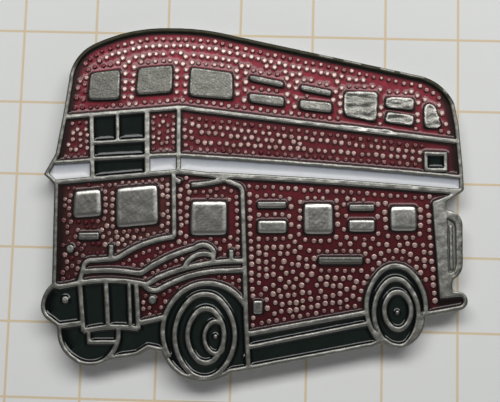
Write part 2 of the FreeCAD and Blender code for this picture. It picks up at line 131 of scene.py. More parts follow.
def thin_out(points: np.ndarray, bend: float = 0.003, longest: float = 0.15) -> np.ndarray:
    """Keep only the points that a closed edge's shape needs.

    Args:
        points: evenly spaced points.
        bend: how far the edge may leave a chord.
        longest: longest chord.

    Returns:
        The kept points.
    """
    most = max(1, int(longest / SAMPLE_MM))
    kept = [0]
    while kept[-1] < len(points) - 1:
        start = kept[-1]
        end = start + 1
        while end < len(points) - 1 and end - start < most:
            chord = points[end + 1] - points[start]
            between = points[start + 1:end + 1] - points[start]
            off = np.abs(chord[0] * between[:, 1] - chord[1] * between[:, 0])
            if off.max() > bend * np.hypot(*chord):
                break
            end += 1
        kept.append(end)
    return points[kept]


def left_normals(points: np.ndarray) -> np.ndarray:
    """Unit normals to the left of a closed edge's direction.

    Args:
        points: points of the edge, one a row.

    Returns:
        One normal for each point.
    """
    along = np.roll(points, -1, axis=0) - np.roll(points, 1, axis=0)
    along /= np.maximum(np.hypot(*along.T), 1e-9)[:, None]
    return np.column_stack([-along[:, 1], along[:, 0]])


def tree_of(points: np.ndarray) -> KDTree:
    """A search tree over flat points.

    Args:
        points: the points, one a row.

    Returns:
        The tree, ready to search.
    """
    tree = KDTree(len(points))
    for index, (x, z) in enumerate(points):
        tree.insert((x, z, 0.0), index)
    tree.balance()
    return tree


def widen(edges: Sequence[np.ndarray], growth: Sequence[float]) -> list[np.ndarray]:
    """Move closed edges to their right, without loops in tight corners or narrow necks.

    Args:
        edges: the edges.
        growth: how far each moves.

    Returns:
        The moved edges.
    """
    traced = [np.vstack([edge, (edge + np.roll(edge, -1, axis=0)) / 2]) for edge in edges]
    owner = np.repeat(np.arange(len(edges)), [len(points) for points in traced])
    tree = tree_of(np.vstack(traced))
    widened = []
    for number, (edge, wide) in enumerate(zip(edges, growth)):
        out = left_normals(edge)
        moved = edge - out * wide
        near = [tree.find_range((x, z, 0.0), wide + NECK_MM) for x, z in moved]
        necks = np.array([any(owner[i] != number for _, i, _ in found) for found in near])
        moved[necks] += NECK_SHARE * wide * out[necks]
        looped = np.array([any(owner[i] == number and far < wide - LOOP_MM
                               for _, i, far in found) for found in near])
        moved = moved[necks | ~looped]
        step = np.hypot(*(np.roll(moved, -1, axis=0) - moved).T)
        widened.append(moved[step > SHORTEST_MM])
    return widened


class Spacer:
    """Accepts points that keep a distance from those accepted before."""

    def __init__(self, distance: float) -> None:
        """Start with nothing accepted.

        Args:
            distance: the least distance between two points.
        """
        self.distance = distance
        self.cells: dict[tuple[int, int], list[tuple[float, float]]] = {}

    def takes(self, x: float, z: float, distance: float | None = None) -> bool:
        """Accept a point if nothing lies too near.

        Args:
            x: place along the bus.
            z: place up the bus.
            distance: a distance for this point alone, no more than the spacer's own.

        Returns:
            True if the point was accepted.
        """
        limit = (distance or self.distance) ** 2
        column, row = int(x // self.distance), int(z // self.distance)
        for i in (column - 1, column, column + 1):
            for j in (row - 1, row, row + 1):
                for other_x, other_z in self.cells.get((i, j), ()):
                    if (x - other_x) ** 2 + (z - other_z) ** 2 < limit:
                        return False
        self.cells.setdefault((column, row), []).append((x, z))
        return True


class Region:
    """A flat area with softened edges, which can be meshed as a surface of any height."""

    def __init__(self, edges: Sequence[np.ndarray], softness: Sequence[float],
                 grow: float = 0.0, grow_outer: float | None = None) -> None:
        """Soften the edges and prepare to measure from them.

        Args:
            edges: closed edges, each with the area on its left.
            softness: how far the corners of each edge are rounded, or 0 to keep it as it is.
            grow: how far the area is widened past its edges.
            grow_outer: the same for the outer edge, where it differs.
        """
        self.dense = [soften(edge, soft) for edge, soft in zip(edges, softness)]
        growth = [grow if grow_outer is None else grow_outer] + [grow] * (len(edges) - 1)
        if any(growth):
            self.dense = widen(self.dense, growth)
        self.edges = [thin_out(points) if soft else edge
                      for points, edge, soft in zip(self.dense, edges, softness)]
        self.rim_count = sum(map(len, self.edges))
        samples = np.vstack(self.dense)
        self.tree = tree_of(samples)
        self.low = samples.min(axis=0)
        self.high = samples.max(axis=0)

    def distances(self, points: np.ndarray) -> np.ndarray:
        """How far each point lies from the nearest edge."""
        find = self.tree.find
        return np.array([find((x, z, 0.0))[2] for x, z in points])

    def contains(self, points: np.ndarray) -> np.ndarray:
        """Whether each point lies in the area, by counting crossings of its edges.

        Args:
            points: the points, one a row.

        Returns:
            True for each point that lies in the area.
        """
        inside = np.zeros(len(points), bool)
        for edge in self.edges:
            start, end = edge, np.roll(edge, -1, axis=0)
            for begin in range(0, len(points), CONTAINS_BATCH):
                part = points[begin:begin + CONTAINS_BATCH]
                spans = (start[:, 1] > part[:, 1:2]) != (end[:, 1] > part[:, 1:2])
                rise = np.where(end[:, 1] == start[:, 1], 1.0, end[:, 1] - start[:, 1])
                share = (part[:, 1:2] - start[:, 1]) / rise
                crossing = start[:, 0] + share * (end[:, 0] - start[:, 0])
                hits = (spans & (part[:, 0:1] < crossing)).sum(axis=1)
                inside[begin:begin + CONTAINS_BATCH] ^= hits % 2 == 1
        return inside

    def rows(self, depths: Sequence[float], spacer: Spacer) -> list[tuple[float, float]]:
        """Points in rows that follow the edges.

        Args:
            depths: distance of each row from the edges.
            spacer: keeps the points apart.

        Returns:
            The points that lie truly that far inside.
        """
        found = []
        for depth in depths:
            shifted = np.vstack([edge + left_normals(edge) * depth for edge in self.edges])
            real = self.distances(shifted) > depth - ROW_SLACK_MM
            found += [(x, z) for x, z in shifted[real] if spacer.takes(x, z)]
        return found

    def filling(self, spacing: float, margin: float) -> np.ndarray:
        """A staggered grid of points inside the area.

        Args:
            spacing: distance between points.
            margin: least distance from the edges.

        Returns:
            The points of the grid that lie inside.
        """
        rise = spacing * math.sqrt(3) / 2
        zs = np.arange(self.low[1], self.high[1], rise)
        xs = np.arange(self.low[0], self.high[0], spacing)
        grid = np.array([(x + (row % 2) * spacing / 2, z) for row, z in enumerate(zs) for x in xs])
        grid = grid[self.contains(grid)]
        return grid[self.distances(grid) > margin] if len(grid) else grid.reshape(0, 2)

    def surface(self, inner: np.ndarray
                ) -> tuple[np.ndarray, np.ndarray, np.ndarray, np.ndarray]:
        """The area's triangles, and how far their corners lie from the edges.

        Args:
            inner: points inside the area.

        Returns:
            The points, edges first; their distances from the edges; the area's triangles;
            and those of its closed holes.
        """
        points, faces, holes = self.triangles(inner)
        away = self.distances(points)
        away[:self.rim_count] = 0
        return points, away, faces, holes

    def triangles(self, inner: np.ndarray) -> tuple[np.ndarray, np.ndarray, np.ndarray]:
        """Join the edges and the inner points with triangles.

        Args:
            inner: points inside the area.

        Returns:
            The points, edges first; the area's triangles; and those of its closed holes.
        """
        rim = np.vstack(self.edges)
        points = np.vstack([rim, inner]) if len(inner) else rim
        forward: dict[tuple[int, int], int] = {}
        first = 0
        for number, edge in enumerate(self.edges):
            last = first + len(edge)
            forward.update({(i, i + 1 if i + 1 < last else first): number
                            for i in range(first, last)})
            first = last
        made = delaunay_2d_cdt([Vector(point) for point in points], list(forward), [], 0, 1e-6)
        original = [ids[0] if ids else -1 for ids in made[3]]
        faces = [tuple(original[i] for i in face) for face in made[2]]
        faces = [face for face in faces if len(face) == 3 and -1 not in face]
        return points, *self._sorted(faces, forward)

    @staticmethod
    def _sorted(faces: list[tuple[int, ...]], forward: dict[tuple[int, int], int]
                ) -> tuple[np.ndarray, np.ndarray]:
        """Tell the area's triangles from those of its holes.

        Args:
            faces: all triangles, anticlockwise.
            forward: the edges' own steps, each with the number of its edge.

        Returns:
            The area's triangles and the triangles of the holes that it closes.
        """
        owner = {(f[k], f[(k + 1) % 3]): n for n, f in enumerate(faces) for k in range(3)}
        group = [-1] * len(faces)
        kinds: list[str] = []
        for start in range(len(faces)):
            if group[start] >= 0:
                continue
            kind = "outside"
            group[start] = len(kinds)
            waiting = [start]
            touched = set()
            while waiting:
                face = faces[waiting.pop()]
                for k in range(3):
                    step = (face[k], face[(k + 1) % 3])
                    back = (step[1], step[0])
                    if step in forward:
                        kind = "area"
                    elif back in forward:
                        touched.add(forward[back])
                    else:
                        other = owner.get(back)
                        if other is None:
                            touched.add(-1)
                        elif group[other] < 0:
                            group[other] = len(kinds)
                            waiting.append(other)
            if kind != "area" and -1 not in touched and 0 not in touched:
                kind = "hole"
            kinds.append(kind)
        pick = [[f for f, g in zip(faces, group) if kinds[g] == kind] for kind in ("area", "hole")]
        return tuple(np.array(chosen, int).reshape(-1, 3) for chosen in pick)


def flat_edges(node: bpy.types.Object, keeps: Callable[[bmesh.types.BMFace], bool]
               ) -> tuple[list[np.ndarray], list[float]]:
    """Read the edges of the front faces of a frame piece.

    Args:
        node: the frame's piece, which isn't changed.
        keeps: tells which faces to take.

    Returns:
        Closed edges with the faces on their left, the longest first, and the height of the
        foot of the wall below each.
    """
    mesh = bmesh.new()
    mesh.from_mesh(node.data)
    bmesh.ops.remove_doubles(mesh, verts=mesh.verts, dist=MERGE_MM * MM)
    taken = dict.fromkeys(face for face in mesh.faces if keeps(face))
    following: dict[bmesh.types.BMVert, list[bmesh.types.BMVert]] = {}
    for face in taken:
        for corner in face.loops:
            if sum(other in taken for other in corner.edge.link_faces) == 1:
                following.setdefault(corner.vert, []).append(corner.link_loop_next.vert)
    found = []
    while following:
        here = next(iter(following))
        trail = [here]
        while True:
            step = following[here].pop()
            if not following[here]:
                del following[here]
            if step is trail[0] or step not in following:
                break
            trail.append(step)
            here = step
        points = np.array([(vert.co.x / MM, vert.co.z / MM) for vert in trail])
        below = [-other.co.y / MM for vert in trail for edge in vert.link_edges
                 for other in (edge.other_vert(vert),)
                 if math.hypot(other.co.x - vert.co.x, other.co.z - vert.co.z) < MERGE_MM * MM]
        found.append((points, min(below, default=0.0)))
    mesh.free()
    found.sort(key=lambda item: -np.hypot(*np.ptp(item[0], axis=0)))
    return [points for points, _ in found], [foot for _, foot in found]


def level_faces(height: float) -> Callable[[bmesh.types.BMFace], bool]:
    """A test for faces that lie flat at a height, in millimetres.

    Args:
        height: the height above the back of the plate.

    Returns:
        The test.
    """
    return lambda face: all(
        abs(-vert.co.y / MM - height) < LEVEL_TOLERANCE_MM for vert in face.verts
    )


def above(height: float) -> Callable[[bmesh.types.BMFace], bool]:
    """A test for forward-facing faces that reach above a height, in millimetres.

    Args:
        height: the height above the back of the plate.

    Returns:
        The test.
    """
    return lambda face: face.normal.y < FORWARD_NORMAL and any(
        -vert.co.y / MM > height + LEVEL_TOLERANCE_MM for vert in face.verts
    )


def front_levels(node: bpy.types.Object) -> dict[float, float]:
    """The flat, forward-facing levels of a frame piece.

    Args:
        node: the frame's piece.

    Returns:
        The area at each height, both in millimetres.
    """
    areas: dict[float, float] = {}
    for face in node.data.polygons:
        if face.normal.y < FLAT_NORMAL:
            height = round(-face.center.y / MM, 2)
            areas[height] = areas.get(height, 0.0) + face.area / MM ** 2
    return areas


# ------------------------------------------------------------------ meshes
class Slot(Enum):
    """The record's material slots that the pieces take their finishes from."""

    METAL = "plated_zinc"
    RED = "enamel_red"
    WHITE = "enamel_white"
    BLACK = "enamel_black"


def crown(share: np.ndarray) -> np.ndarray:
    """A quarter-round rise from 0 at the edge to 1 at a share of 1."""
    return np.sqrt(1 - (1 - np.clip(share, 0, 1)) ** 2)


def waves(points: np.ndarray, size: float, seed: int) -> np.ndarray:
    """Smooth random waves over flat points.

    Args:
        points: places in the plane.
        size: length of a wave.
        seed: picks the pattern.

    Returns:
        A value from about -1 to 1 for each point.
    """
    chance = np.random.default_rng(seed)
    total = np.zeros(len(points))
    for _ in range(WAVES):
        heading = chance.uniform(0, 2 * math.pi)
        length = size * chance.uniform(*WAVE_SPREAD)
        shift = chance.uniform(0, 2 * math.pi)
        along = points @ np.array([math.cos(heading), math.sin(heading)])
        total += np.sin(2 * math.pi * along / length + shift)
    return total / math.sqrt(WAVES)


class Shell:
    """A closed mesh that is put together from a surface, its walls and its floor."""

    def __init__(self) -> None:
        """Start empty."""
        self.points: list[np.ndarray] = []
        self.faces: list[tuple[int, ...]] = []
        self.tone_and_shade: list[np.ndarray] = []
        self.count = 0

    def add_points(self, flat: np.ndarray, heights: np.ndarray | float,
                   tone_and_shade: np.ndarray | float = 0.0) -> int:
        """Add points at given heights.

        Args:
            flat: places in the plane.
            heights: height of each point.
            tone_and_shade: how dark each point is made, 0 to 1, from patina, wear and deeper
                enamel, and from painted shade in corners and beside walls.

        Returns:
            The index of the first of them.
        """
        first = self.count
        tall = np.broadcast_to(heights, len(flat))
        self.points.append(np.column_stack([flat[:, 0], -tall, flat[:, 1]]) * MM)
        self.tone_and_shade.append(np.broadcast_to(tone_and_shade, len(flat)).astype(float))
        self.count += len(flat)
        return first

    def add_faces(self, triangles: np.ndarray, first: int, forward: bool = True) -> None:
        """Add triangles that face the front, or the back."""
        order = (0, 1, 2) if forward else (2, 1, 0)
        self.faces += [tuple(int(face[k]) + first for k in order) for face in triangles]

    def add_wall(self, top: int, low: int, length: int) -> None:
        """Join two closed rows of points, the first above the second, seen from outside.

        Args:
            top: the index of the first row's first point.
            low: the index of the second row's first point.
            length: how many points each row has.
        """
        for k in range(length):
            after = (k + 1) % length
            self.faces.append((top + k, low + k, low + after, top + after))

    def close_behind(self, region: Region, first: int, height: float,
                     tone_and_shade: float = 0.0) -> None:
        """Close a surface with a wall behind each of its edges and a flat back.

        Args:
            region: the surface's area, whose edges are the surface's first points.
            first: the index of the surface's first point.
            height: the back's height.
            tone_and_shade: how dark the back is made.
        """
        rim, back, _ = region.triangles(np.zeros((0, 2)))
        low = self.add_points(rim, height, tone_and_shade)
        start = 0
        for edge in region.edges:
            self.add_wall(first + start, low + start, len(edge))
            start += len(edge)
        self.add_faces(back, low, forward=False)

    def piece(self, name: str, sharp_degrees: float = 50.0) -> bpy.types.Object:
        """Make the object.

        Args:
            name: its name.
            sharp_degrees: edges that turn more than this stay sharp.

        Returns:
            The object, with its place in its mesh.
        """
        mesh = bpy.data.meshes.new(name)
        mesh.from_pydata(np.vstack(self.points), [], self.faces)
        mesh.shade_smooth()
        mesh.set_sharp_from_angle(angle=math.radians(sharp_degrees))
        layer = mesh.attributes.new("tone_and_shade", "FLOAT", "POINT")
        layer.data.foreach_set("value", np.concatenate(self.tone_and_shade).astype(np.float32))
        made = bpy.data.objects.new(name, mesh)
        bpy.context.scene.collection.objects.link(made)
        return made


def finish_piece(piece: bpy.types.Object, slot: Slot, material: bpy.types.Material,
                 *replaced: str) -> None:
    """Dress a piece and give it its place in the frame.

    Args:
        piece: the finished object.
        slot: the record's slot for its finish; not used.
        material: its finish.
        *replaced: frame pieces that it stands for.
    """
    piece.data.materials.clear()
    piece.data.materials.append(material)
    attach(piece, BADGE)
    if replaced:
        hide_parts(*replaced)
    log.info("%s: %d faces", piece.name, len(piece.data.polygons))


# ------------------------------------------------------------------ node trees
class Wiring:
    """A node tree being wired, with short calls to add nodes and join them."""

    def __init__(self, tree: bpy.types.NodeTree) -> None:
        """Take a tree and empty it."""
        self.tree = tree
        tree.nodes.clear()

    def add(self, kind: str, inputs: dict[str | int, object] | None = None,
            **settings: object) -> bpy.types.Node:
        """Add a node.

        Args:
            kind: the node's type.
            inputs: values or output sockets for its inputs, by name or number.
            **settings: the node's own properties.

        Returns:
            The new node.
        """
        node = self.tree.nodes.new(kind)
        for name, value in settings.items():
            setattr(node, name, value)
        for key, value in (inputs or {}).items():
            if isinstance(value, bpy.types.NodeSocket):
                self.tree.links.new(value, node.inputs[key])
            else:
                node.inputs[key].default_value = value
        return node

    def effect(self, effect: Effect, inputs: dict[str, object]) -> bpy.types.NodeOutputs:
        """Place a shared effect in a material with the material's own values.

        Args:
            effect: which effect.
            inputs: values or output sockets for its named inputs.

        Returns:
            The effect's outputs, by name.
        """
        return self.add("ShaderNodeGroup", inputs, node_tree=effect.group()).outputs

    def math(self, operation: str, *values: object) -> bpy.types.NodeSocket:
        """A Math node's result."""
        return self.add("ShaderNodeMath", dict(enumerate(values)), operation=operation).outputs[0]

    def mix(self, share: object, first: object, second: object) -> bpy.types.NodeSocket:
        """A mix of two colours."""
        node = self.add("ShaderNodeMix", {0: share, 6: first, 7: second}, data_type="RGBA")
        return node.outputs[2]

    def ramp(self, value: object, low: float, high: float, start: float = 0.0,
             end: float = 1.0) -> bpy.types.NodeSocket:
        """A value carried from one range to another, held at its ends."""
        return self.add("ShaderNodeMapRange", {0: value, 1: low, 2: high, 3: start, 4: end}
                        ).outputs[0]

    def attribute(self, name: str) -> bpy.types.NodeSocket:
        """A value that the mesh carries."""
        return self.add("ShaderNodeAttribute", attribute_name=name).outputs["Fac"]

    def bump(self, height: object, depth_mm: float) -> bpy.types.NodeSocket:
        """A normal that is bent by a height."""
        return self.add("ShaderNodeBump", {"Height": height, "Strength": 1.0,
                                           "Distance": depth_mm * MM}).outputs[0]

    def end_in(self, shader: bpy.types.Node) -> None:
        """Make a shader the material's surface."""
        self.add("ShaderNodeOutputMaterial", {"Surface": shader.outputs[0]})


def new_material(name: str) -> tuple[bpy.types.Material, Wiring]:
    """A material with an empty node tree, and the wiring of that tree.

    Args:
        name: its name.

    Returns:
        The material and the wiring.
    """
    material = bpy.data.materials.new(name)
    material.use_nodes = True
    return material, Wiring(material.node_tree)


def rgba(red: float, green: float, blue: float) -> tuple[float, float, float, float]:
    """An opaque colour."""
    return (red, green, blue, 1.0)


def named_group(name: str, inputs: dict[str, object], outputs: dict[str, str],
                kind: str = "ShaderNodeTree") -> bpy.types.NodeTree:
    """Start a node group.

    Args:
        name: its name.
        inputs: each input's name and value; a tuple is a colour and None is a geometry.
        outputs: each output's name and type of socket.
        kind: the type of its tree.

    Returns:
        The group, with nothing in it yet.
    """
    group = bpy.data.node_groups.new(name, kind)
    sockets = {tuple: "NodeSocketColor", float: "NodeSocketFloat", int: "NodeSocketInt",
               type(None): "NodeSocketGeometry"}
    for label, value in inputs.items():
        socket = group.interface.new_socket(label, in_out="INPUT",
                                            socket_type=sockets[type(value)])
        if value is not None:
            socket.default_value = value
    for label, socket_type in outputs.items():
        group.interface.new_socket(label, in_out="OUTPUT", socket_type=socket_type)
    return group


class Effect(Enum):
    """The effects that several finishes share; each is one node group, built once."""

    GRAIN = "Fine grain"
    WEAR_AND_SHADE = "Rubbed, tarnished and shaded"
    POOL = "Colour over a metal floor"

    def group(self) -> bpy.types.NodeTree:
        """The effect's node group, built the first time that it is asked for.

        Returns:
            The node group.
        """
        if self.value not in bpy.data.node_groups:
            {Effect.GRAIN: self._grain, Effect.WEAR_AND_SHADE: self._wear_and_shade, Effect.POOL: self._pool}[self]()
        return bpy.data.node_groups[self.value]

    def _grain(self) -> None:
        """A cast, hammered or enamelled skin: a height for bumps and flecks for colour."""
        group = named_group(self.value, {"Size mm": 0.1, "Unevenness": 0.5},
                            {"Height": "NodeSocketFloat", "Flecks": "NodeSocketFloat"})
        wiring = Wiring(group)
        given = wiring.add("NodeGroupInput")
        place = wiring.add("ShaderNodeTexCoord").outputs["Object"]
        per_size = wiring.math("DIVIDE", 1 / MM, given.outputs["Size mm"])
        scaled = wiring.add("ShaderNodeVectorMath", {0: place, 3: per_size}, operation="SCALE")
        fine = wiring.add("ShaderNodeTexNoise", {"Vector": scaled.outputs[0], "Scale": 1.0,
                                                 "Detail": 3.0, "Roughness": 0.6})
        broad = wiring.add("ShaderNodeTexNoise", {"Vector": scaled.outputs[0], "Scale": 0.17,
                                                  "Detail": 2.0})
        uneven = wiring.math("MULTIPLY", broad.outputs[0], given.outputs["Unevenness"])
        height = wiring.math("ADD", fine.outputs[0], uneven)
        flecks = wiring.ramp(height, 0.35, 1.0)
        wiring.add("NodeGroupOutput", {"Height": height, "Flecks": flecks})

    def _wear_and_shade(self) -> None:
        """Metal that is bright where it is rubbed, and dark and dull in its corners, from patina
        and painted shade.
        """
        group = named_group(
            self.value, {"Flecks": 0.0, "Fleck share": 0.5, "Worn": rgba(0.5, 0.5, 0.5),
                         "Bright": rgba(0.3, 0.3, 0.3), "Dark": rgba(0.03, 0.03, 0.03),
                         "Smooth": 0.3, "Rough": 0.5},
            {"Colour": "NodeSocketColor", "Roughness": "NodeSocketFloat"})
        wiring = Wiring(group)
        given = wiring.add("NodeGroupInput").outputs
        # Flecks, patina, wear and painted shade from the mesh set how dark the metal is.
        stain_and_shade = wiring.math("MULTIPLY_ADD", given["Flecks"], given["Fleck share"],
                            wiring.attribute("tone_and_shade"))
        colour = wiring.mix(wiring.ramp(stain_and_shade, 0.1, 1.2), given["Bright"], given["Dark"])
        colour = wiring.mix(wiring.ramp(stain_and_shade, -0.6, 0.3, 1.0, 0.0), colour, given["Worn"])
        dullness = wiring.ramp(stain_and_shade, -0.3, 1.2)
        span = wiring.math("SUBTRACT", given["Rough"], given["Smooth"])
        roughness = wiring.math("MULTIPLY_ADD", dullness, span, given["Smooth"])
        wiring.add("NodeGroupOutput", {"Colour": colour, "Roughness": roughness})

    def _pool(self) -> None:
        """Enamel that is uneven in the open, and darker where it meets a wall, from deeper enamel
        and painted shade.
        """
        group = named_group(
            self.value, {"Flecks": 0.0, "Deep": rgba(0.1, 0.1, 0.1), "Light": rgba(0.2, 0.2, 0.2),
                         "Wall": rgba(0.05, 0.05, 0.05)}, {"Colour": "NodeSocketColor"})
        wiring = Wiring(group)
        given = wiring.add("NodeGroupInput").outputs
        clear = wiring.mix(given["Flecks"], given["Deep"], given["Light"])
        beside = wiring.ramp(wiring.attribute("tone_and_shade"), 0.1, 0.9)
        colour = wiring.mix(beside, clear, given["Wall"])
        wiring.add("NodeGroupOutput", {"Colour": colour})


@dataclass(frozen=True)
class MetalFinish:
    """A bare or plated metal: bright where it is rubbed, dark in its corners."""

    name: str
    worn: Colour
    bright: Colour
    dark: Colour
    smooth: float
    rough: float
    grain_mm: float
    grain_depth_mm: float
    unevenness: float = 0.5
    flecks: float = 0.5

    def material(self) -> bpy.types.Material:
        """Build the material.

        Returns:
            The material.
        """
        material, wiring = new_material(self.name)
        grain = wiring.effect(Effect.GRAIN, {"Size mm": self.grain_mm,
                                             "Unevenness": self.unevenness})
        wear = wiring.effect(Effect.WEAR_AND_SHADE, {
            "Flecks": grain["Flecks"], "Fleck share": self.flecks, "Worn": rgba(*self.worn),
            "Bright": rgba(*self.bright), "Dark": rgba(*self.dark), "Smooth": self.smooth,
            "Rough": self.rough})
        wiring.end_in(wiring.add("ShaderNodeBsdfPrincipled", {
            "Base Color": wear["Colour"], "Metallic": 1.0, "Roughness": wear["Roughness"],
            "Normal": wiring.bump(grain["Height"], self.grain_depth_mm)}))
        return material


@dataclass(frozen=True)
class EnamelFinish:
    """Soft enamel: colour over the metal floor, under a glossy skin."""

    name: str
    deep: Colour
    light: Colour
    wall: Colour
    roughness: float
    metallic: float = 0.0
    coat: float = 0.0
    specular: float = 0.3
    floor_pull: float = 0.0
    coat_roughness: float = 0.1
    ripple_mm: float = 0.5
    ripple_depth_mm: float = 0.003
    unevenness: float = 0.6

    def material(self) -> bpy.types.Material:
        """Build the material.

        Returns:
            The material.
        """
        material, wiring = new_material(self.name)
        grain = wiring.effect(Effect.GRAIN, {"Size mm": self.ripple_mm,
                                             "Unevenness": self.unevenness})
        pool = wiring.effect(Effect.POOL, {
            "Flecks": grain["Flecks"], "Deep": rgba(*self.deep), "Light": rgba(*self.light),
            "Wall": rgba(*self.wall)})
        normal = wiring.bump(grain["Height"], self.ripple_depth_mm)
        if self.floor_pull:
            lean = wiring.add("ShaderNodeVectorMath",
                              {0: normal, 1: (0.0, -self.floor_pull, 0.0)}, operation="ADD")
            normal = wiring.add("ShaderNodeVectorMath", {0: lean.outputs[0]},
                                operation="NORMALIZE").outputs[0]
        wiring.end_in(wiring.add("ShaderNodeBsdfPrincipled", {
            "Base Color": pool["Colour"], "Metallic": self.metallic,
            "Roughness": self.roughness, "Specular IOR Level": self.specular,
            "Coat Weight": self.coat, "Coat Roughness": self.coat_roughness,
            "Normal": normal}))
        return material


@dataclass(frozen=True)
class BeadFinish:
    """A bead's finish: bare metal round its dimple, where a dark reflection is painted, under red
    enamel down its sides.
    """

    name: str
    metal: Colour
    glaze: Colour
    roughness: float
    metallic: float = 0.65
    fleck_share: float = 0.25
    grain_mm: float = 0.09
    grain_depth_mm: float = 0.003
    bare: tuple[float, float] = (0.20, 0.70)        # where the enamel ends and bare metal starts
    dimple: tuple[float, float] = (0.94, 0.99)      # the rise at the dimple's edge and in it, which is painted dark as a reflection

    def material(self) -> bpy.types.Material:
        """Build the material.

        Returns:
            The material.
        """
        material, wiring = new_material(self.name)
        grain = wiring.effect(Effect.GRAIN, {"Size mm": self.grain_mm})
        rise = wiring.attribute("rise")
        bare = wiring.math("SUBTRACT", rise, wiring.attribute("glaze"))
        bare = wiring.math("MULTIPLY_ADD", grain["Flecks"], self.fleck_share, bare)
        off_painted_reflection = wiring.ramp(rise, *self.dimple, 1.0, 0.0)
        share = wiring.math("MULTIPLY", wiring.ramp(bare, *self.bare), off_painted_reflection)
        wiring.end_in(wiring.add("ShaderNodeBsdfPrincipled", {
            "Base Color": wiring.mix(share, rgba(*self.glaze), rgba(*self.metal)),
            "Metallic": self.metallic, "Roughness": self.roughness,
            "Normal": wiring.bump(grain["Height"], self.grain_depth_mm)}))
        return material


# ------------------------------------------------------------------ the casting
@dataclass
class Levels:
    """Heights of the plate's faces above its back, read from the frame."""

    floor: float
    channel: float
    enamel: float
    bar: float
    relief: float
    window: float

    @classmethod
    def of_frame(cls, plate: bpy.types.Object, pool: str) -> Levels:
        """Read the levels.

        Args:
            plate: the frame's die-cast plate.
            pool: the name of one enamel piece.

        Returns:
            The levels.
        """
        areas = front_levels(plate)
        enamel = round(-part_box(pool)[0].y / MM, 2)
        relief = max((h for h in areas if h > enamel), key=areas.get)
        floor = max((h for h in areas if h < enamel), key=areas.get)
        channel, bar = sorted(h for h in areas if floor < h < relief)
        return cls(floor, channel, enamel, bar, relief, max(areas))


@dataclass
class Rim:
    """The plate's outer edge, and how the painted shade on it and on the enamel beside it lies."""

    outline: np.ndarray
    painted_shade_width: float = 0.30
    roof_painted_shade: float = 1.7
    side_painted_shade: float = 0.3
    darkest: float = 1.1
    roof_above: float = 3.0         # the painted shade along the top is only on the roof
    sides_above: float = -7.0       # and that down the sides ends above the wheels
    burr_width: float = 0.10
    burr_right_of: float = 4.5
    burr_tone: float = 0.1
    burr_wave: float = 1.3
    burr_gaps: float = -0.35        # the burr breaks off where the wave is lower
    upright: float = 0.7            # the outline is upright where it faces sideways this much
    shade_start: float = 0.4
    shade_width: float = 0.5
    shade_strength: float = 1.25
    shade_upright: float = 0.75
    platform: tuple[float, float] = (12.25, -6.0)   # its left end and its top

    def __post_init__(self) -> None:
        """Prepare to measure from the outline."""
        self.out = -left_normals(self.outline)
        self.tree = tree_of(self.outline)

    def nearest(self, points: np.ndarray) -> tuple[np.ndarray, np.ndarray]:
        """Distance to the outline and the direction that it faces there.

        Args:
            points: the points, one a row.

        Returns:
            A distance and an outward normal for each point.
        """
        found = [self.tree.find((x, z, 0.0))[1:] for x, z in points]
        away = np.array([far for _, far in found])
        return away, self.out[[index for index, _ in found]]

    def painted_rim_shade(self, points: np.ndarray) -> np.ndarray:
        """Painted shade on the rim: darkest where it faces up along the roof, less down the sides,
        with a lighter burr.

        Args:
            points: the points, one a row.

        Returns:
            A darkness for each point, 0 off the rim.
        """
        away, facing = self.nearest(points)
        x, z = points.T
        up = facing[:, 1] * (z > self.roof_above)
        side = self.side_painted_shade * (np.abs(facing[:, 0]) > self.upright)
        side = side * (z > self.sides_above)
        dark = np.clip(np.maximum(self.roof_painted_shade * up, side), 0, self.darkest)
        dark = dark * (away < self.painted_shade_width)
        burr = (away < self.burr_width) & (x > self.burr_right_of) & (up > 0)
        burr &= waves(points, self.burr_wave, SEED + 3) > self.burr_gaps
        return np.where(burr, self.burr_tone, dark)

    def shade(self, points: np.ndarray) -> np.ndarray:
        """Painted shade on the enamel beside the upright parts of the rim, and darker enamel on
        the platform.

        Args:
            points: the points, one a row.

        Returns:
            A darkness for each point, 0 to 1.
        """
        away, facing = self.nearest(points)
        beside = (away - self.shade_start) / self.shade_width
        beside = np.clip(self.shade_strength - beside, 0, 1)
        left, top = self.platform
        platform = (points[:, 0] > left) & (points[:, 1] < top)
        return np.maximum(beside * (np.abs(facing[:, 0]) > self.shade_upright), platform)


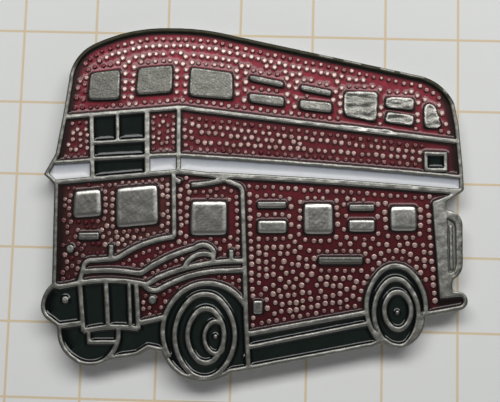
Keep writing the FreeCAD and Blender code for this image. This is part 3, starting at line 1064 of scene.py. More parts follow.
@dataclass
class Casting:
    """The die-cast plate: rim, ridges, studs and rear pole, with its back."""

    plate: bpy.types.Object
    levels: Levels
    corner_softness: float = 0.05
    ridge_growth: float = 0.025
    crown_reach: float = 0.09
    crown_drop: float = 0.05
    rows: tuple[float, ...] = (0.015, 0.045, 0.085, 0.13)
    row_spacing: float = 0.035
    filling: float = 0.20
    unevenness: float = 0.010
    dent_depths: tuple[float, float] = (0.006, 0.007)
    dent_sizes: tuple[float, float] = (0.6, 0.28)
    edge_tone: tuple[float, float] = (0.1, 0.05)        # how dark an edge is, and how wide
    rubbed_tone: tuple[float, float] = (0.35, 0.08)     # how bright the tops are
    wall_tone: float = 1.0
    channel_tone: float = 0.1
    # painted light: the plate's outer edge is made lighter, as if lit from below
    side_painted_light: float = -0.3
    back_tone: float = 0.1
    pole_left: float = 12.25
    pole_span: tuple[float, float] = (-6.2, -0.3)
    pole_patina: float = 0.22
    pole_patina_size: float = 0.3
    pole_pitting: float = 0.004
    pole_pitting_size: float = 0.26
    beaten_span: tuple[float, float] = (5.9, 9.7)   # of the ridge over the upper side
    beaten_line: tuple[float, float] = (5.563, -0.13)
    beaten_reach: float = 0.45
    beaten_fade: float = 0.4
    beaten_shine: float = 0.25
    belly: float = 0.02
    belly_rows: tuple[tuple[float, float], ...] = ((0.25, 1.0), (0.5, 1.5), (0.75, 1.0))
    back_round: float = 0.12
    back_rows: tuple[float, ...] = (0.03, 0.07, 0.12)
    back_filling: float = 0.9
    back_margin: float = 0.6

    def __post_init__(self) -> None:
        """Read the ridges' edges and soften their corners."""
        edges, self.feet = flat_edges(self.plate, level_faces(self.levels.relief))
        softness = [self.corner_softness] * len(edges)
        self.region = Region(edges, softness, self.ridge_growth, 0.0)
        self.rim = Rim(self.region.edges[0])

    def build(self) -> bpy.types.Object:
        """Make the whole casting apart from its windows and its hand rail.

        Returns:
            The object.
        """
        region = self.region
        inner = region.rows(self.rows, Spacer(self.row_spacing))
        filling = region.filling(self.filling, self.rows[-1] + self.filling / 2)
        points, away, front, floors = region.surface(np.vstack([inner, filling]))
        beaten, pole = self._beaten(points), self._pole(points)
        heights = self.levels.relief - self.crown_drop * (1 - crown(away / self.crown_reach))
        broad, fine = self.dent_depths
        broad_size, fine_size = self.dent_sizes
        heights += (self.unevenness + broad * beaten) * waves(points, broad_size, SEED)
        heights += fine * beaten * waves(points, fine_size, SEED + 9)
        heights += self.pole_pitting * pole * waves(points, self.pole_pitting_size, SEED + 11)
        dark, edge_width = self.edge_tone
        bright, top_width = self.rubbed_tone
        tone_and_shade = dark * (1 - np.clip(away / edge_width, 0, 1))
        tone_and_shade = tone_and_shade - bright * np.clip(away / top_width, 0, 1)
        # Painted shade on the rim, darkest where it faces up along the roof.
        tone_and_shade = np.maximum(tone_and_shade, self.rim.painted_rim_shade(points))
        patina = self.pole_patina * pole * waves(points, self.pole_patina_size, SEED + 7)
        tone_and_shade += patina - self.beaten_shine * beaten
        shell = Shell()
        shell.add_points(points, heights, tone_and_shade)
        shell.add_faces(front, 0)
        outer = len(region.edges[0])
        feet = np.repeat(self.feet, [len(edge) for edge in region.edges])
        feet[:outer] = self.back_round
        over_floor = feet > (self.levels.floor + self.levels.channel) / 2
        # The walls are painted dark, patina and painted shade, the channel's only a little; the
        # outer edge gets painted light, as if from below.
        dark = np.where(over_floor, self.channel_tone, self.wall_tone)
        dark[:outer] = self.side_painted_light
        low = shell.add_points(points[:region.rim_count], feet, dark)
        first = outer
        for edge in region.edges[1:]:
            shell.add_wall(first, low + first, len(edge))
            first += len(edge)
        shell.add_faces(floors, low)
        self._outer_wall(shell, points[:outer], low)
        self._back(shell, region.edges[0], low)
        return shell.piece("cast_plate")

    def _pole(self, points: np.ndarray) -> np.ndarray:
        """Whether each point is on the bare metal round the hand rail, which is pitted.

        Args:
            points: the points, one a row.

        Returns:
            True for each point that is.
        """
        x, z = points.T
        foot, head = self.pole_span
        return (x > self.pole_left) & (z > foot) & (z < head)

    def _beaten(self, points: np.ndarray) -> np.ndarray:
        """Where the ridge over the upper deck's side is beaten flat, 0 to 1.

        Args:
            points: the points, one a row.

        Returns:
            How far each point is beaten.
        """
        x, z = points.T
        left, right = self.beaten_span
        along = np.clip(np.minimum(x - left, right - x) / self.beaten_fade, 0, 1)
        start, slope = self.beaten_line
        return along * (np.abs(z - (start + slope * x)) < self.beaten_reach)

    def _outer_wall(self, shell: Shell, outline: np.ndarray, low: int) -> None:
        """The plate's edge, bellied a little between its front and its back.

        Args:
            shell: the mesh, which starts with the outline at the front.
            outline: the outline, one point a row.
            low: the index of its first point at the back.
        """
        count = len(outline)
        above_row = 0
        out = -left_normals(outline)
        top = self.levels.relief - self.crown_drop
        for share, belly in self.belly_rows:
            height = top + (self.back_round - top) * share
            row = shell.add_points(outline + out * self.belly * belly, height, self.side_painted_light)
            shell.add_wall(above_row, row, count)
            above_row = row
        shell.add_wall(above_row, low, count)

    def _back(self, shell: Shell, outline: np.ndarray, low: int) -> None:
        """The flat back with its edge rounded over.

        Args:
            shell: the mesh.
            outline: the outline, one point a row.
            low: the index of its first point at the back.
        """
        region = Region([outline], [0.0])
        rows = region.rows(self.back_rows, Spacer(self.back_rows[0]))
        filling = region.filling(self.back_filling, self.back_margin)
        points, away, faces, _ = region.surface(np.vstack([rows, filling]))
        count = len(outline)
        heights = self.back_round * (1 - crown(away / self.back_round))
        first = shell.add_points(points[count:], heights[count:], self.back_tone)
        index = np.concatenate([np.arange(low, low + count),
                                np.arange(first, first + len(points) - count)])
        shell.add_faces(index[faces], 0, forward=False)


@dataclass
class HandRail:
    """The upright bar in the rear pole's channel, rounded along its front."""

    plate: bpy.types.Object
    levels: Levels
    corner_softness: float = 0.04
    crown_reach: float = 0.16
    crown_drop: float = 0.06
    lift: float = 0.02
    pitting: float = 0.008
    pitting_size: float = 0.3
    patina: float = 0.15
    patina_size: float = 0.4
    shine: float = 0.1
    sunk: float = 0.05
    foot_tone: float = 0.5
    rows: tuple[float, ...] = (0.03, 0.07, 0.12)
    row_spacing: float = 0.035
    filling: float = 0.12
    filling_margin: float = 0.15

    def build(self) -> bpy.types.Object:
        """Make the bar as a closed piece that stands in the channel.

        Returns:
            The object.
        """
        edges, _ = flat_edges(self.plate, level_faces(self.levels.bar))
        region = Region(edges[:1], [self.corner_softness])
        inner = region.rows(self.rows, Spacer(self.row_spacing))
        filling = region.filling(self.filling, self.filling_margin)
        points, away, faces, _ = region.surface(np.vstack([inner, filling]))
        heights = self.levels.bar + self.lift
        heights = heights - self.crown_drop * (1 - crown(away / self.crown_reach))
        heights += self.pitting * waves(points, self.pitting_size, SEED + 21)
        tone = self.patina * waves(points, self.patina_size, SEED + 22) - self.shine
        shell = Shell()
        shell.add_points(points, heights, tone)
        shell.add_faces(faces, 0)
        shell.close_behind(region, 0, self.levels.channel - self.sunk, self.foot_tone)
        return shell.piece("hand_rail")


class Deck(Enum):
    """The two decks, by the name of the piece that holds their windows."""

    UPPER = "upper_windows"
    LOWER = "lower_windows"


@dataclass
class Windows:
    """The raised windows, lamps and plates that stand in the enamel."""

    plate: bpy.types.Object
    levels: Levels
    upper_above: float = 2.0
    growth: float = 0.045
    corner_softness: float = 0.22
    softest: float = 0.20           # of a window's short side
    broad_bevel: float = 0.30
    fine_bevel: float = 0.14
    broadest: float = 0.25          # of a window's short side
    bevel_slope: float = 0.27
    bevel_curve: float = 1.3
    edge_drop: float = 0.075
    rows: tuple[float, ...] = (0.02, 0.06, 0.11, 0.17)
    row_spacing: float = 0.045
    grain_spacing: float = 0.075
    grain_margin: float = 0.20
    flat_from: float = 0.2
    hammered_depth: float = 0.002
    hammered_size: float = 0.22
    fold_size: float = 0.75
    fold_stretch: tuple[float, float] = (0.7, 1.8)
    crumpled_from: tuple[float, float] = (6.0, 4.0)     # the upper deck's rear windows
    crumpled_depth: float = 0.024
    beaten_depth: float = 0.004
    highest_wave: float = 2.2
    upper_tone_and_light: tuple[float, float] = (-0.05, -0.02)    # in the middle, and per millimetre along the bus, which is painted light
    lower_tone_and_light: tuple[float, float] = (0.04, -0.008)
    low_plate_shade: float = 0.4
    worn: float = 0.8
    worn_strength: float = 1.25
    worn_from: float = 0.05
    edge_tone: float = 0.3
    edge_width: float = 0.04
    wall_tone: float = 1.0
    shaded_plates_from: tuple[float, float] = (2.0, -3.5)     # those low on the lower side, which get painted shade

    def build(self) -> dict[Deck, bpy.types.Object]:
        """Make every window, in one piece for each deck.

        Returns:
            The object of each deck.
        """
        edges, _ = flat_edges(self.plate, above(self.levels.relief))
        shells = {deck: Shell() for deck in Deck}
        for number, edge in enumerate(edges):
            deck = Deck.UPPER if edge[:, 1].mean() > self.upper_above else Deck.LOWER
            self._add(shells[deck], edge, number, deck)
        return {deck: shell.piece(deck.value) for deck, shell in shells.items()}

    def _add(self, shell: Shell, edge: np.ndarray, number: int, deck: Deck) -> None:
        """Add one window with its bevelled edge and hammered face.

        Args:
            shell: the mesh of the window's deck.
            edge: the window's edge in the frame.
            number: picks its pattern.
            deck: the deck that it is on.
        """
        short = min(edge.max(axis=0) - edge.min(axis=0))
        softness = min(self.corner_softness, self.softest * short)
        region = Region([edge], [softness], self.growth)
        bevel = self.broad_bevel if deck is Deck.LOWER else self.fine_bevel
        bevel = min(bevel, self.broadest * short)
        rows = region.rows(self.rows, Spacer(self.row_spacing))
        filling = region.filling(self.grain_spacing, self.grain_margin)
        points, away, faces, _ = region.surface(
            np.vstack([np.reshape(rows, (-1, 2)), filling]))
        slope = 1 - np.clip(away / bevel, 0, 1)
        heights = self.levels.window - self.bevel_slope * bevel * slope ** self.bevel_curve
        heights -= self.edge_drop * (1 - crown(away / self.edge_drop))
        flat = np.clip(away / self.flat_from, 0, 1)
        hammered = waves(points, self.hammered_size, SEED + number)
        heights += self.hammered_depth * flat * hammered
        x, z = (region.low + region.high) / 2
        crumpled = x > self.crumpled_from[0] and z > self.crumpled_from[1]
        beaten = self.crumpled_depth if crumpled else self.beaten_depth
        folds = points * (self.fold_stretch if crumpled else (1.0, 1.0))
        folded = waves(folds, self.fold_size, SEED + 100 + number) - self.highest_wave
        heights += beaten * flat * folded
        # The tone's change along the bus is painted light, lighter towards the rear.
        middle, painted_light_per_mm = self.lower_tone_and_light if deck is Deck.LOWER else self.upper_tone_and_light
        tone = middle + painted_light_per_mm * x
        # Painted shade on the plates low on the lower side.
        if deck is Deck.LOWER and x > self.shaded_plates_from[0] and z < self.shaded_plates_from[1]:
            tone += self.low_plate_shade
        worn = self.worn * np.clip(self.worn_strength - away / bevel, 0, 1)
        worn = worn * np.clip(away / self.worn_from, 0, 1)
        edge_tone = self.edge_tone * (1 - np.clip(away / self.edge_width, 0, 1))
        first = shell.add_points(points, heights, tone + edge_tone - worn)
        shell.add_faces(faces, first)
        # The window's sides are painted dark, patina and painted shade.
        shell.close_behind(region, first, self.levels.floor, self.wall_tone)


# ------------------------------------------------------------------ enamel and beads
@dataclass(frozen=True)
class BeadPattern:
    """How the beads of one cell stand, in millimetres, and how much enamel covers them."""

    pitch: float
    radius: float
    glaze: float
    margin: float
    over_walls: float
    under_walls: float
    right_end: float = 99.0
    # more enamel on beads next to a wall, partly painted shade
    deep: float = 0.22


BEAD_PATTERNS = {
    "enamel_red_roof": BeadPattern(0.50, 0.190, -0.05, 0.34, 0.10, 0.12, deep=0.48),
    "enamel_red_upper_side": BeadPattern(0.48, 0.185, 0.28, 0.33, 0.10, 0.14, 11.5, 0.28),
    "enamel_red_upper_corner": BeadPattern(0.42, 0.150, 0.32, 0.26, 0.05, 0.10),
    "enamel_red_upper_front": BeadPattern(0.42, 0.165, 0.05, 0.26, 0.08, 0.10),
    "enamel_red_lower_front": BeadPattern(0.43, 0.180, 0.18, 0.31, 0.05, 0.06),
    "enamel_red_cab": BeadPattern(0.46, 0.180, 0.20, 0.32, 0.04, 0.10),
    "enamel_red_bonnet_side": BeadPattern(0.42, 0.165, 0.22, 0.30, 0.0, 0.05),
    "enamel_red_lower_side": BeadPattern(0.51, 0.190, 0.10, 0.34, 0.08, 0.14),
    "enamel_red_front_wing": BeadPattern(0.44, 0.165, 0.28, 0.30, 0.0, 0.05),
    "enamel_red_wing_inside": BeadPattern(0.38, 0.125, 0.3, 0.22, 0.0, 0.0),
    "enamel_red_wing_edge": BeadPattern(0.42, 0.135, 0.3, 0.24, 0.0, 0.0),
}


@dataclass
class Bead:
    """One of the small cast beads that stand through the red enamel."""

    x: float
    z: float
    radius: float
    glaze: float

    def ring(self, grow: float, steps: int) -> list[tuple[float, float]]:
        """Points round the bead, some way outside it.

        Args:
            grow: how far outside.
            steps: how many points.

        Returns:
            The points.
        """
        turns = [2 * math.pi * step / steps for step in range(steps)]
        wide = self.radius + grow
        return [(self.x + wide * math.cos(t), self.z + wide * math.sin(t)) for t in turns]


@dataclass(frozen=True)
class Skin:
    """How the surface of one colour of enamel lies in its cells, in millimetres."""

    climb: float                # up the walls
    reach: float                # of that climb, out from the walls
    sink: float                 # of the middle, below the frame's enamel
    top_shade: float = 0.0      # how far down the shade of the wall above reaches


@dataclass
class Pool:
    """One cell's enamel, with its skin drawn up at the walls and round the beads."""

    node: str
    frame_node: bpy.types.Object
    levels: Levels
    rim: Rim
    skin: Skin
    window_climb: float = 0.12
    window_reach: float = 0.10
    bead_climb: float = 0.01
    bead_reach: float = 0.04
    ripple: float = 0.002
    ripple_size: float = 1.6
    dark_band: float = 0.30
    dark_curve: float = 2.5
    window_dark: float = 1.4        # how much faster the dark band fades from a window
    rim_dark: float = 0.9
    bead_dark: float = 0.7
    bead_dark_reach: float = 0.07
    nearest_shade: float = 0.02
    shade_steps: int = 12
    outer_softness: float = 0.02
    plain_softness: float = 0.09    # of openings with few corners
    plain_corners: int = 6
    inner_softness: float = 0.05
    under_wall: float = 0.03
    wall_rows: tuple[float, ...] = (0.05, 0.09, 0.14, 0.20, 0.28, 0.40)
    point_spacing: float = 0.042
    bead_rings: tuple[tuple[float, int], ...] = ((0.0, 9), (0.05, 11))
    ring_margin: float = 0.06
    filling: float = 0.17
    filling_margin: float = 0.10
    filling_spacing: float = 0.04
    bead_rows: int = 14
    row_step: float = 0.94          # of the beads' pitch
    row_slack: float = 0.01
    row_closeness: float = 0.92     # of the beads' pitch, between beads of two rows
    loose_closeness: float = 0.88   # and between the beads that fill what the rows leave
    loose_grid: float = 0.10
    most_shaded: float = 0.75       # no bead stands where the rim's shade is stronger
    covered_and_shaded_reach: tuple[float, float] = (0.62, 0.50)   # under an edge and over one, where beads get more enamel and painted shade
    jitter: float = 0.028
    sharp_degrees: float = 70.0
    glaze_spread: float = 0.35
    size_spread: tuple[float, float] = (0.84, 1.10)
    covered_shrink: float = 0.12
    front_glaze: float = 1.3        # more enamel on the beads towards the bus's front
    front_from: float = 8.5
    front_fade: float = 2.0
    beads: list[Bead] = field(default_factory=list)

    def __post_init__(self) -> None:
        """Read the cell's edges from the frame."""
        edges, _ = flat_edges(self.frame_node, level_faces(self.levels.enamel))
        softness = [self.outer_softness]
        softness += [self.plain_softness if len(edge) <= self.plain_corners
                     else self.inner_softness for edge in edges[1:]]
        self.region = Region(edges, softness, self.under_wall)
        self.wall = Region(edges[:1], softness[:1], self.under_wall)

    def place_beads(self, pattern: BeadPattern, chance: np.random.Generator) -> None:
        """Set the beads in rows that follow the cell's walls, one row inside another.

        Args:
            pattern: how close the beads stand and how large they are.
            chance: the source of unevenness.
        """
        spacer = Spacer(pattern.pitch)
        taken: list[tuple[float, float]] = []

        def take(points: np.ndarray, depth: float, closeness: float) -> None:
            """Keep the points that fit, at a share of the beads' pitch from each other.

            Args:
                points: the points to try, one a row.
                depth: the least distance from the walls.
                closeness: the share of the beads' pitch.
            """
            apart = pattern.pitch * closeness
            taken.extend((x, z) for x, z in points[self._fits(points, depth)]
                         if x < pattern.right_end and spacer.takes(x, z, apart))

        for number in range(self.bead_rows):
            depth = pattern.margin + self.row_step * number * pattern.pitch
            for edge in self.region.dense:
                inward = left_normals(edge)
                rising = inward[:, 1:2]
                step = depth + np.where(rising > 0, pattern.over_walls * rising,
                                        -pattern.under_walls * rising)
                take(edge + inward * step, depth - self.row_slack,
                     self.row_closeness if number else 1.0)
        loose = chance.permutation(self.region.filling(self.loose_grid, pattern.margin))
        take(loose, pattern.margin, self.loose_closeness)
        spots = np.array(taken).reshape(-1, 2)
        # Beads next to a wall above or below get more enamel over them: thicker enamel and painted
        # shade.
        under, over = self.covered_and_shaded_reach
        covered_and_shaded = ~(self.region.contains(spots + (0.0, under))
                    & self.region.contains(spots - (0.0, over)))
        for (x, z), deep in zip(spots, covered_and_shaded):
            dx, dz = chance.normal(0, self.jitter, 2)
            glaze = chance.random() * self.glaze_spread + pattern.glaze + pattern.deep * deep
            front = min(1.0, max(0.0, -x - self.front_from) / self.front_fade)
            glaze += self.front_glaze * pattern.deep * front
            size = chance.uniform(*self.size_spread) - self.covered_shrink * deep
            self.beads.append(Bead(x + dx, z + dz, pattern.radius * size, glaze))

    def _fits(self, points: np.ndarray, depth: float) -> np.ndarray:
        """Which points are in the cell, off its walls and off the plate's upright rims.

        Args:
            points: the points, one a row.
            depth: the least distance from the walls.

        Returns:
            True for each point that fits.
        """
        if not len(points):
            return np.zeros(0, bool)
        inside = self.region.contains(points) & (self.region.distances(points) > depth)
        return inside & (self.rim.shade(points) < self.most_shaded)

    def _inner(self) -> np.ndarray:
        """Points of the skin: rows along the walls, rings round the beads and a filling.

        Returns:
            The points, one a row.
        """
        region = self.region
        spacer = Spacer(self.point_spacing)
        inner = region.rows(self.wall_rows, spacer)
        rings = [spot for bead in self.beads for grow, steps in self.bead_rings
                 for spot in bead.ring(grow, steps)]
        if rings:
            round_beads = np.array(rings)
            round_beads = round_beads[region.distances(round_beads) > self.ring_margin]
            round_beads = round_beads[region.contains(round_beads)]
            inner += [(x, z) for x, z in round_beads if spacer.takes(x, z)]
        inner += [(x, z) for x, z in region.filling(self.filling, self.filling_margin)
                  if spacer.takes(x, z, self.filling_spacing)]
        return np.array(inner).reshape(-1, 2)

    def build(self) -> bpy.types.Object:
        """Make the enamel.

        Returns:
            The object.
        """
        points, away, faces, _ = self.region.surface(self._inner())
        away = np.maximum(away - self.under_wall, 0)
        from_wall = self.wall.distances(points)
        climb = np.maximum(self.skin.climb * np.exp(-from_wall / self.skin.reach),
                           self.window_climb * np.exp(-away / self.window_reach))
        heights = self.levels.enamel - self.skin.sink + climb
        heights += self.ripple * waves(points, self.ripple_size, SEED + len(points))
        # A dark band by the walls and windows, from deeper enamel and painted shade.
        band = np.minimum(from_wall, self.window_dark * away) / self.dark_band
        tone_and_shade = 1 - np.clip(band, 0, 1) ** self.dark_curve
        # Painted shade beside the plate's upright rims, and darker enamel on the platform.
        tone_and_shade = np.maximum(tone_and_shade, self.rim_dark * self.rim.shade(points))
        # The white enamel takes only the painted shadow of the wall above instead.
        if self.skin.top_shade:
            steps = np.linspace(self.nearest_shade, self.skin.top_shade, self.shade_steps)
            tone_and_shade = 1 - np.mean([self.region.contains(points + (0.0, up)) for up in steps],
                                 axis=0)
        if self.beads:
            tree = tree_of(np.array([(bead.x, bead.z) for bead in self.beads]))
            nearest = [tree.find((x, z, 0.0)) for x, z in points]
            gap = np.array([max(0.0, far - self.beads[i].radius) for _, i, far in nearest])
            heights += self.bead_climb * np.exp(-gap / self.bead_reach)
            tone_and_shade = np.maximum(tone_and_shade, self.bead_dark * np.exp(-gap / self.bead_dark_reach))
        shell = Shell()
        shell.add_points(points, heights, tone_and_shade)
        shell.add_faces(faces, 0)
        shell.close_behind(self.region, 0, self.levels.floor)
        return shell.piece(self.node.replace("enamel_", "glaze_"), self.sharp_degrees)


@dataclass
class BeadField:
    """All the beads, set on their points by Geometry Nodes."""

    beads: Sequence[Bead]
    levels: Levels
    sides: int = 10
    rings: int = 6
    height: float = 0.12
    foot: float = -0.6
    flatness: float = 0.4
    dimple: float = 0.50
    dimple_from: float = 0.87       # of the bead's radius, up its axis
    below_relief: float = 0.12

    def tree(self, material: bpy.types.Material) -> bpy.types.NodeTree:
        """The node tree that sets a small flat-footed dome on each point.

        Args:
            material: the beads' finish.

        Returns:
            The tree.
        """
        group = named_group(
            "Set beads", {"Geometry": None, "Sides": self.sides, "Rings": self.rings,
                          "Height": self.height * MM, "Foot": self.foot,
                          "Flatness": self.flatness, "Dimple": self.dimple},
            {"Geometry": "NodeSocketGeometry"}, "GeometryNodeTree")
        wiring = Wiring(group)
        given = wiring.add("NodeGroupInput").outputs
        ball = wiring.add("GeometryNodeMeshUVSphere", {
            "Segments": given["Sides"], "Rings": given["Rings"], "Radius": 1.0})
        x, y, z = wiring.add("ShaderNodeSeparateXYZ", {
            0: wiring.add("GeometryNodeInputPosition").outputs[0]}).outputs
        domed = wiring.math("POWER", wiring.math("MAXIMUM", z, 0.0), given["Flatness"])
        footed = wiring.math("MAXIMUM", wiring.math("MINIMUM", z, 0.0), given["Foot"])
        kept = wiring.math("ADD", domed, footed)
        inside = wiring.ramp(z, self.dimple_from, 1.0)
        pressed = wiring.math("MULTIPLY", inside, given["Dimple"])
        bent = wiring.add("ShaderNodeCombineXYZ",
                          {0: x, 1: y, 2: wiring.math("SUBTRACT", kept, pressed)})
        dome = wiring.add("GeometryNodeSetPosition", {"Geometry": ball.outputs[0],
                                                      "Position": bent.outputs[0]})
        marked = wiring.add("GeometryNodeStoreNamedAttribute",
                            {"Geometry": dome.outputs[0], "Name": "rise", "Value": kept},
                            data_type="FLOAT", domain="POINT")
        size = wiring.add("GeometryNodeInputNamedAttribute", {"Name": "size"},
                          data_type="FLOAT").outputs[0]
        scale = wiring.add("ShaderNodeCombineXYZ", {0: size, 1: size, 2: given["Height"]})
        turn = wiring.add("FunctionNodeInputVector", vector=(math.radians(90), 0, 0))
        placed = wiring.add("GeometryNodeInstanceOnPoints", {
            "Points": given["Geometry"], "Instance": marked.outputs[0],
            "Rotation": turn.outputs[0], "Scale": scale.outputs[0]})
        real = wiring.add("GeometryNodeRealizeInstances", {0: placed.outputs[0]})
        smooth = wiring.add("GeometryNodeSetShadeSmooth", {0: real.outputs[0]})
        dressed = wiring.add("GeometryNodeSetMaterial",
                             {"Geometry": smooth.outputs[0], "Material": material})
        wiring.add("NodeGroupOutput", {0: dressed.outputs[0]})
        return group

    def build(self, material: bpy.types.Material) -> bpy.types.Object:
        """Make the beads as one plain mesh.

        Args:
            material: the beads' finish.

        Returns:
            The object.
        """
        name = "beads"
        waist = self.levels.relief - self.below_relief - self.height
        mesh = bpy.data.meshes.new(name)
        mesh.from_pydata([(b.x * MM, -waist * MM, b.z * MM) for b in self.beads], [], [])
        for label, values in (("size", [b.radius * MM for b in self.beads]),
                              ("glaze", [b.glaze for b in self.beads])):
            mesh.attributes.new(label, "FLOAT", "POINT").data.foreach_set("value", values)
        piece = bpy.data.objects.new(name, mesh)
        bpy.context.scene.collection.objects.link(piece)
        modifier = piece.modifiers.new("Set beads", "NODES")
        modifier.node_group = self.tree(material)
        for item in modifier.node_group.interface.items_tree:
            if item.in_out == "INPUT" and item.name != "Geometry":
                modifier[item.identifier] = item.default_value
        evaluated = piece.evaluated_get(bpy.context.evaluated_depsgraph_get())
        plain = bpy.data.meshes.new_from_object(evaluated)
        piece.modifiers.clear()
        piece.data = plain
        return piece


@dataclass(frozen=True)
class Fixing:
    """The post and the butterfly clutch behind the plate, whose shapes the frame gives."""

    steel: MetalFinish
    brass: MetalFinish
    spring_brass: MetalFinish

    def dress(self, nodes: dict[str, bpy.types.Object]) -> None:
        """Give the frame's own pieces their finishes.

        Args:
            nodes: the frame's pieces by name.
        """
        finishes = {"post": self.steel, "clutch_cap": self.brass, "clutch_disc": self.brass,
                    "clutch_spring": self.spring_brass}
        materials = {finish: finish.material() for finish in dict.fromkeys(finishes.values())}
        for name, finish in finishes.items():
            for held in nodes[name].material_slots:
                held.material = materials[finish]
            log.info("%s: %s", name, finish.name)


# ------------------------------------------------------------------ camera and light
@dataclass(frozen=True)
class Lamp:
    """A rectangular lamp that looks at the pin."""

    name: str
    place: tuple[float, float, float]
    size: tuple[float, float]
    watts: float

    def hang(self) -> None:
        """Hang the lamp."""
        light = bpy.data.lights.new(self.name, "AREA")
        light.shape = "RECTANGLE"
        light.size, light.size_y = Vector(self.size) * MM
        light.energy = self.watts
        lamp = bpy.data.objects.new(self.name, light)
        lamp.location = Vector(self.place) * MM
        lamp.rotation_mode = "QUATERNION"
        lamp.rotation_quaternion = (-lamp.location).to_track_quat("-Z", "Y")
        bpy.context.scene.collection.objects.link(lamp)


@dataclass
class Studio:
    """The pale floor, the card behind the pin, the lamps and the camera."""

    floor_drop: float = 130.0
    floor_half_size: float = 1500.0
    card_gap: float = 0.03
    card_half_size: float = 120.0
    paper_shade: float = 0.72
    square: float = 5.0
    square_turn: float = math.radians(-1.55)
    first_lines: tuple[float, float] = (-0.97, 1.5)
    line_colour: Colour = (0.62, 0.42, 0.16)
    line_half_width: tuple[float, float] = (0.05, 0.11)     # solid, and faded out
    line_strength: float = 0.62
    room_light: float = 0.08
    room_colour: Colour = (0.9, 0.95, 1.0)
    pale_backdrop: float = 0.50
    camera_place: tuple[float, float, float] = (1.269, -67.245, -8.251)
    camera_right: tuple[float, float, float] = (0.999824, 0.018759, 0.000167)
    camera_up: tuple[float, float, float] = (0.002119, -0.121763, 0.992557)
    lens: float = 72.0
    sensor_width: float = 36.0
    lamps: tuple[Lamp, ...] = (Lamp("key", (14, -131, 74), (190, 50), 0.235),
                               Lamp("back", (70, 140, 90), (160, 120), 0.6))

    def build(self) -> None:
        """Set the stage."""
        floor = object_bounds()[0].z - self.floor_drop * MM
        self._stage_plane("floor", Matrix.Translation((0, 0, floor)), self.floor_half_size,
                          self._table())
        upright = Matrix.Rotation(math.radians(90), 4, "X")
        self._stage_plane("card", Matrix.Translation((0, self.card_gap * MM, 0)) @ upright,
                          self.card_half_size, self._squared_card())
        for lamp in self.lamps:
            lamp.hang()
        world = bpy.data.worlds.new("Soft room")
        bpy.context.scene.world = world
        world.use_nodes = True
        wiring = Wiring(world.node_tree)
        seen = wiring.add("ShaderNodeLightPath").outputs["Is Camera Ray"]
        strength = wiring.math("MULTIPLY_ADD", seen, self.pale_backdrop, self.room_light)
        sky = wiring.add("ShaderNodeBackground", {"Color": rgba(*self.room_colour),
                                                  "Strength": strength})
        wiring.add("ShaderNodeOutputWorld", {"Surface": sky.outputs[0]})
        bpy.context.scene.view_settings.view_transform = "Standard"
        self._camera()

    @staticmethod
    def _stage_plane(name: str, place: Matrix, half: float,
                     material: bpy.types.Material) -> None:
        """A square plane that isn't part of the pin.

        Args:
            name: its name.
            place: where it stands and how it is turned.
            half: half its side, in millimetres.
            material: its finish.
        """
        mesh = bpy.data.meshes.new(name)
        corners = [place @ Vector((x * half * MM, z * half * MM, 0)) for x, z in
                   ((-1, -1), (1, -1), (1, 1), (-1, 1))]
        mesh.from_pydata(corners, [], [(0, 1, 2, 3)])
        mesh.materials.append(material)
        plane = bpy.data.objects.new(name, mesh)
        bpy.context.scene.collection.objects.link(plane)
        plane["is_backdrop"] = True

    def _table(self) -> bpy.types.Material:
        """Matt paper that looks as pale as the backdrop, though little light reaches it.

        Returns:
            The material.
        """
        material, wiring = new_material("Pale table")
        paper = wiring.add("ShaderNodeBsdfDiffuse", {"Color": rgba(*[self.paper_shade] * 3)})
        pale = wiring.add("ShaderNodeEmission", {"Strength": self.pale_backdrop})
        seen = wiring.add("ShaderNodeLightPath").outputs["Is Camera Ray"]
        wiring.end_in(wiring.add("ShaderNodeMixShader", {
            0: seen, 1: paper.outputs[0], 2: pale.outputs[0]}))
        return material

    def _squared_card(self) -> bpy.types.Material:
        """Matt squared card that shows its front alone and casts no shadow.

        Returns:
            The material.
        """
        material, wiring = new_material("Squared card")
        turned = wiring.add("ShaderNodeVectorRotate", {
            "Vector": wiring.add("ShaderNodeTexCoord").outputs["Object"],
            "Angle": self.square_turn}, rotation_type="Y_AXIS")
        axes = wiring.add("ShaderNodeSeparateXYZ", {0: turned.outputs[0]}).outputs
        solid, faded = self.line_half_width
        lines: object = 0.0
        for axis, first in zip((axes["X"], axes["Z"]), self.first_lines):
            along = wiring.math("SUBTRACT", axis, first * MM)
            off = wiring.math("PINGPONG", along, self.square / 2 * MM)
            line = wiring.ramp(off, solid * MM, faded * MM, self.line_strength, 0.0)
            lines = wiring.math("MAXIMUM", lines, line)
        shade = self.paper_shade
        squared = wiring.mix(lines, rgba(shade, shade * 1.01, shade * 0.99),
                             rgba(*self.line_colour))
        card = wiring.add("ShaderNodeBsdfDiffuse", {"Color": squared})
        clear = wiring.add("ShaderNodeBsdfTransparent")
        behind = wiring.add("ShaderNodeNewGeometry").outputs["Backfacing"]
        shadow = wiring.add("ShaderNodeLightPath").outputs["Is Shadow Ray"]
        wiring.end_in(wiring.add("ShaderNodeMixShader", {
            0: wiring.math("MAXIMUM", behind, shadow), 1: card.outputs[0],
            2: clear.outputs[0]}))
        return material

    def _camera(self) -> None:
        """The camera, a little below the pin and looking up at it."""
        right, up = Vector(self.camera_right), Vector(self.camera_up)
        turn = Matrix((right, up, right.cross(up))).transposed().to_4x4()
        data = bpy.data.cameras.new("camera")
        data.lens = self.lens
        data.sensor_width = self.sensor_width
        data.clip_start = 1 * MM
        data.clip_end = 2.0
        camera = bpy.data.objects.new("camera", data)
        camera.matrix_world = Matrix.Translation(Vector(self.camera_place) * MM) @ turn
        bpy.context.scene.collection.objects.link(camera)
        bpy.context.scene.camera = camera


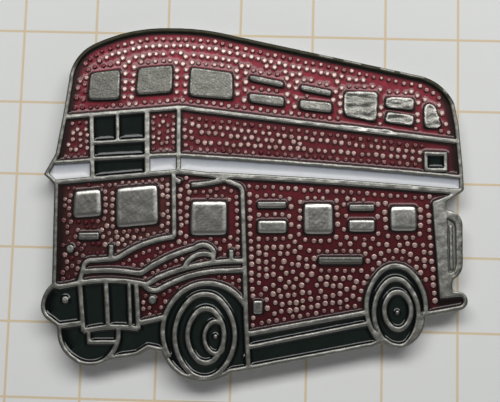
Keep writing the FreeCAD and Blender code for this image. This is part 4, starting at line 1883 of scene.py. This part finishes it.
# ------------------------------------------------------------------ the pin
NICKEL = MetalFinish(
    "Antique nickel plate", worn=(0.46, 0.45, 0.42), bright=(0.25, 0.247, 0.225),
    dark=(0.035, 0.034, 0.024), smooth=0.34, rough=0.52, grain_mm=0.11, grain_depth_mm=0.008)
WINDOW_NICKEL = {
    Deck.UPPER: MetalFinish(
        "Hammered nickel", worn=(0.44, 0.43, 0.40), bright=(0.17, 0.168, 0.150),
        dark=(0.05, 0.049, 0.042), smooth=0.34, rough=0.55, grain_mm=0.10,
        grain_depth_mm=0.030, unevenness=0.4, flecks=0.8),
    Deck.LOWER: MetalFinish(
        "Smooth nickel", worn=(0.50, 0.49, 0.46), bright=(0.14, 0.138, 0.126),
        dark=(0.05, 0.048, 0.042), smooth=0.34, rough=0.50, grain_mm=0.12,
        grain_depth_mm=0.007, unevenness=0.5, flecks=0.35),
}
BEAD_METAL = BeadFinish("Glazed bead metal", metal=(0.53, 0.38, 0.34),
                        glaze=(0.10, 0.012, 0.018), roughness=0.30)
STEEL = MetalFinish(
    "Drawn steel", worn=(0.66, 0.65, 0.62), bright=(0.47, 0.46, 0.44), dark=(0.16, 0.15, 0.14),
    smooth=0.22, rough=0.45, grain_mm=0.20, grain_depth_mm=0.003, unevenness=0.6, flecks=0.5)
BRASS = MetalFinish(
    "Plated brass", worn=(0.82, 0.74, 0.56), bright=(0.58, 0.555, 0.50), dark=(0.23, 0.20, 0.15),
    smooth=0.20, rough=0.46, grain_mm=0.45, grain_depth_mm=0.004, unevenness=0.8, flecks=0.7)
SPRING_BRASS = MetalFinish(
    "Plated spring brass", worn=(0.78, 0.72, 0.58), bright=(0.55, 0.53, 0.48),
    dark=(0.21, 0.18, 0.14), smooth=0.24, rough=0.42, grain_mm=0.25, grain_depth_mm=0.002,
    unevenness=0.5, flecks=0.6)
red_enamel = partial(EnamelFinish, wall=(0.012, 0.004, 0.004), roughness=0.38, metallic=0.85,
                     coat=0.45, specular=0.5, floor_pull=4.0)
ENAMELS = {
    # The roof's enamel is made lighter: painted light.
    "enamel_red_roof": red_enamel(
        "Red enamel with painted light", deep=(0.050, 0.006, 0.008), light=(0.135, 0.012, 0.020)),
    "enamel_red_lower_front": red_enamel(
        "Dull red enamel", deep=(0.034, 0.009, 0.008), light=(0.075, 0.020, 0.019)),
    Slot.RED: red_enamel(
        "Deep red enamel", deep=(0.036, 0.006, 0.006), light=(0.100, 0.010, 0.016)),
    # Its wall colour is the painted shadow of the wall above.
    Slot.WHITE: EnamelFinish(
        "White enamel", deep=(0.62, 0.63, 0.65), light=(0.68, 0.69, 0.70),
        wall=(0.30, 0.32, 0.36), roughness=0.30),
    Slot.BLACK: EnamelFinish(
        "Black enamel", deep=(0.006, 0.010, 0.008), light=(0.010, 0.015, 0.012),
        wall=(0.002, 0.003, 0.003), roughness=0.10),
}
SKINS = {
    Slot.RED: Skin(climb=0.17, reach=0.09, sink=0.10),
    Slot.WHITE: Skin(climb=0.16, reach=0.22, sink=0.12, top_shade=0.85),
    Slot.BLACK: Skin(climb=0.13, reach=0.11, sink=0.08),
}


def main() -> None:
    """Build the pin, piece by piece, and set the stage."""
    logging.basicConfig(level=logging.INFO, format="%(message)s", force=True)
    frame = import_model()
    nodes = frame["nodes"]
    plate = nodes["base_plate"]
    pools = sorted(name for name in nodes if name.startswith("enamel_"))
    levels = Levels.of_frame(plate, pools[0])
    metal = NICKEL.material()
    casting = Casting(plate, levels)
    finish_piece(casting.build(), Slot.METAL, metal, "base_plate")
    finish_piece(HandRail(plate, levels).build(), Slot.METAL, metal)
    for deck, piece in Windows(plate, levels).build().items():
        finish_piece(piece, Slot.METAL, WINDOW_NICKEL[deck].material())
    glazes = {cell: finish.material() for cell, finish in ENAMELS.items()}
    chance = np.random.default_rng(SEED)
    beads: list[Bead] = []
    for name in pools:
        slot = Slot("_".join(name.split("_")[:2]))
        pool = Pool(name, nodes[name], levels, casting.rim, SKINS[slot])
        if slot is Slot.RED:
            pool.place_beads(BEAD_PATTERNS[name], chance)
            beads += pool.beads
        finish_piece(pool.build(), slot, glazes.get(name, glazes[slot]), name)
    log.info("%d beads", len(beads))
    bead_metal = BEAD_METAL.material()
    finish_piece(BeadField(beads, levels).build(bead_metal), Slot.METAL, bead_metal)
    Fixing(STEEL, BRASS, SPRING_BRASS).dress(nodes)
    Studio().build()


if __name__ == "__main__":
    main()
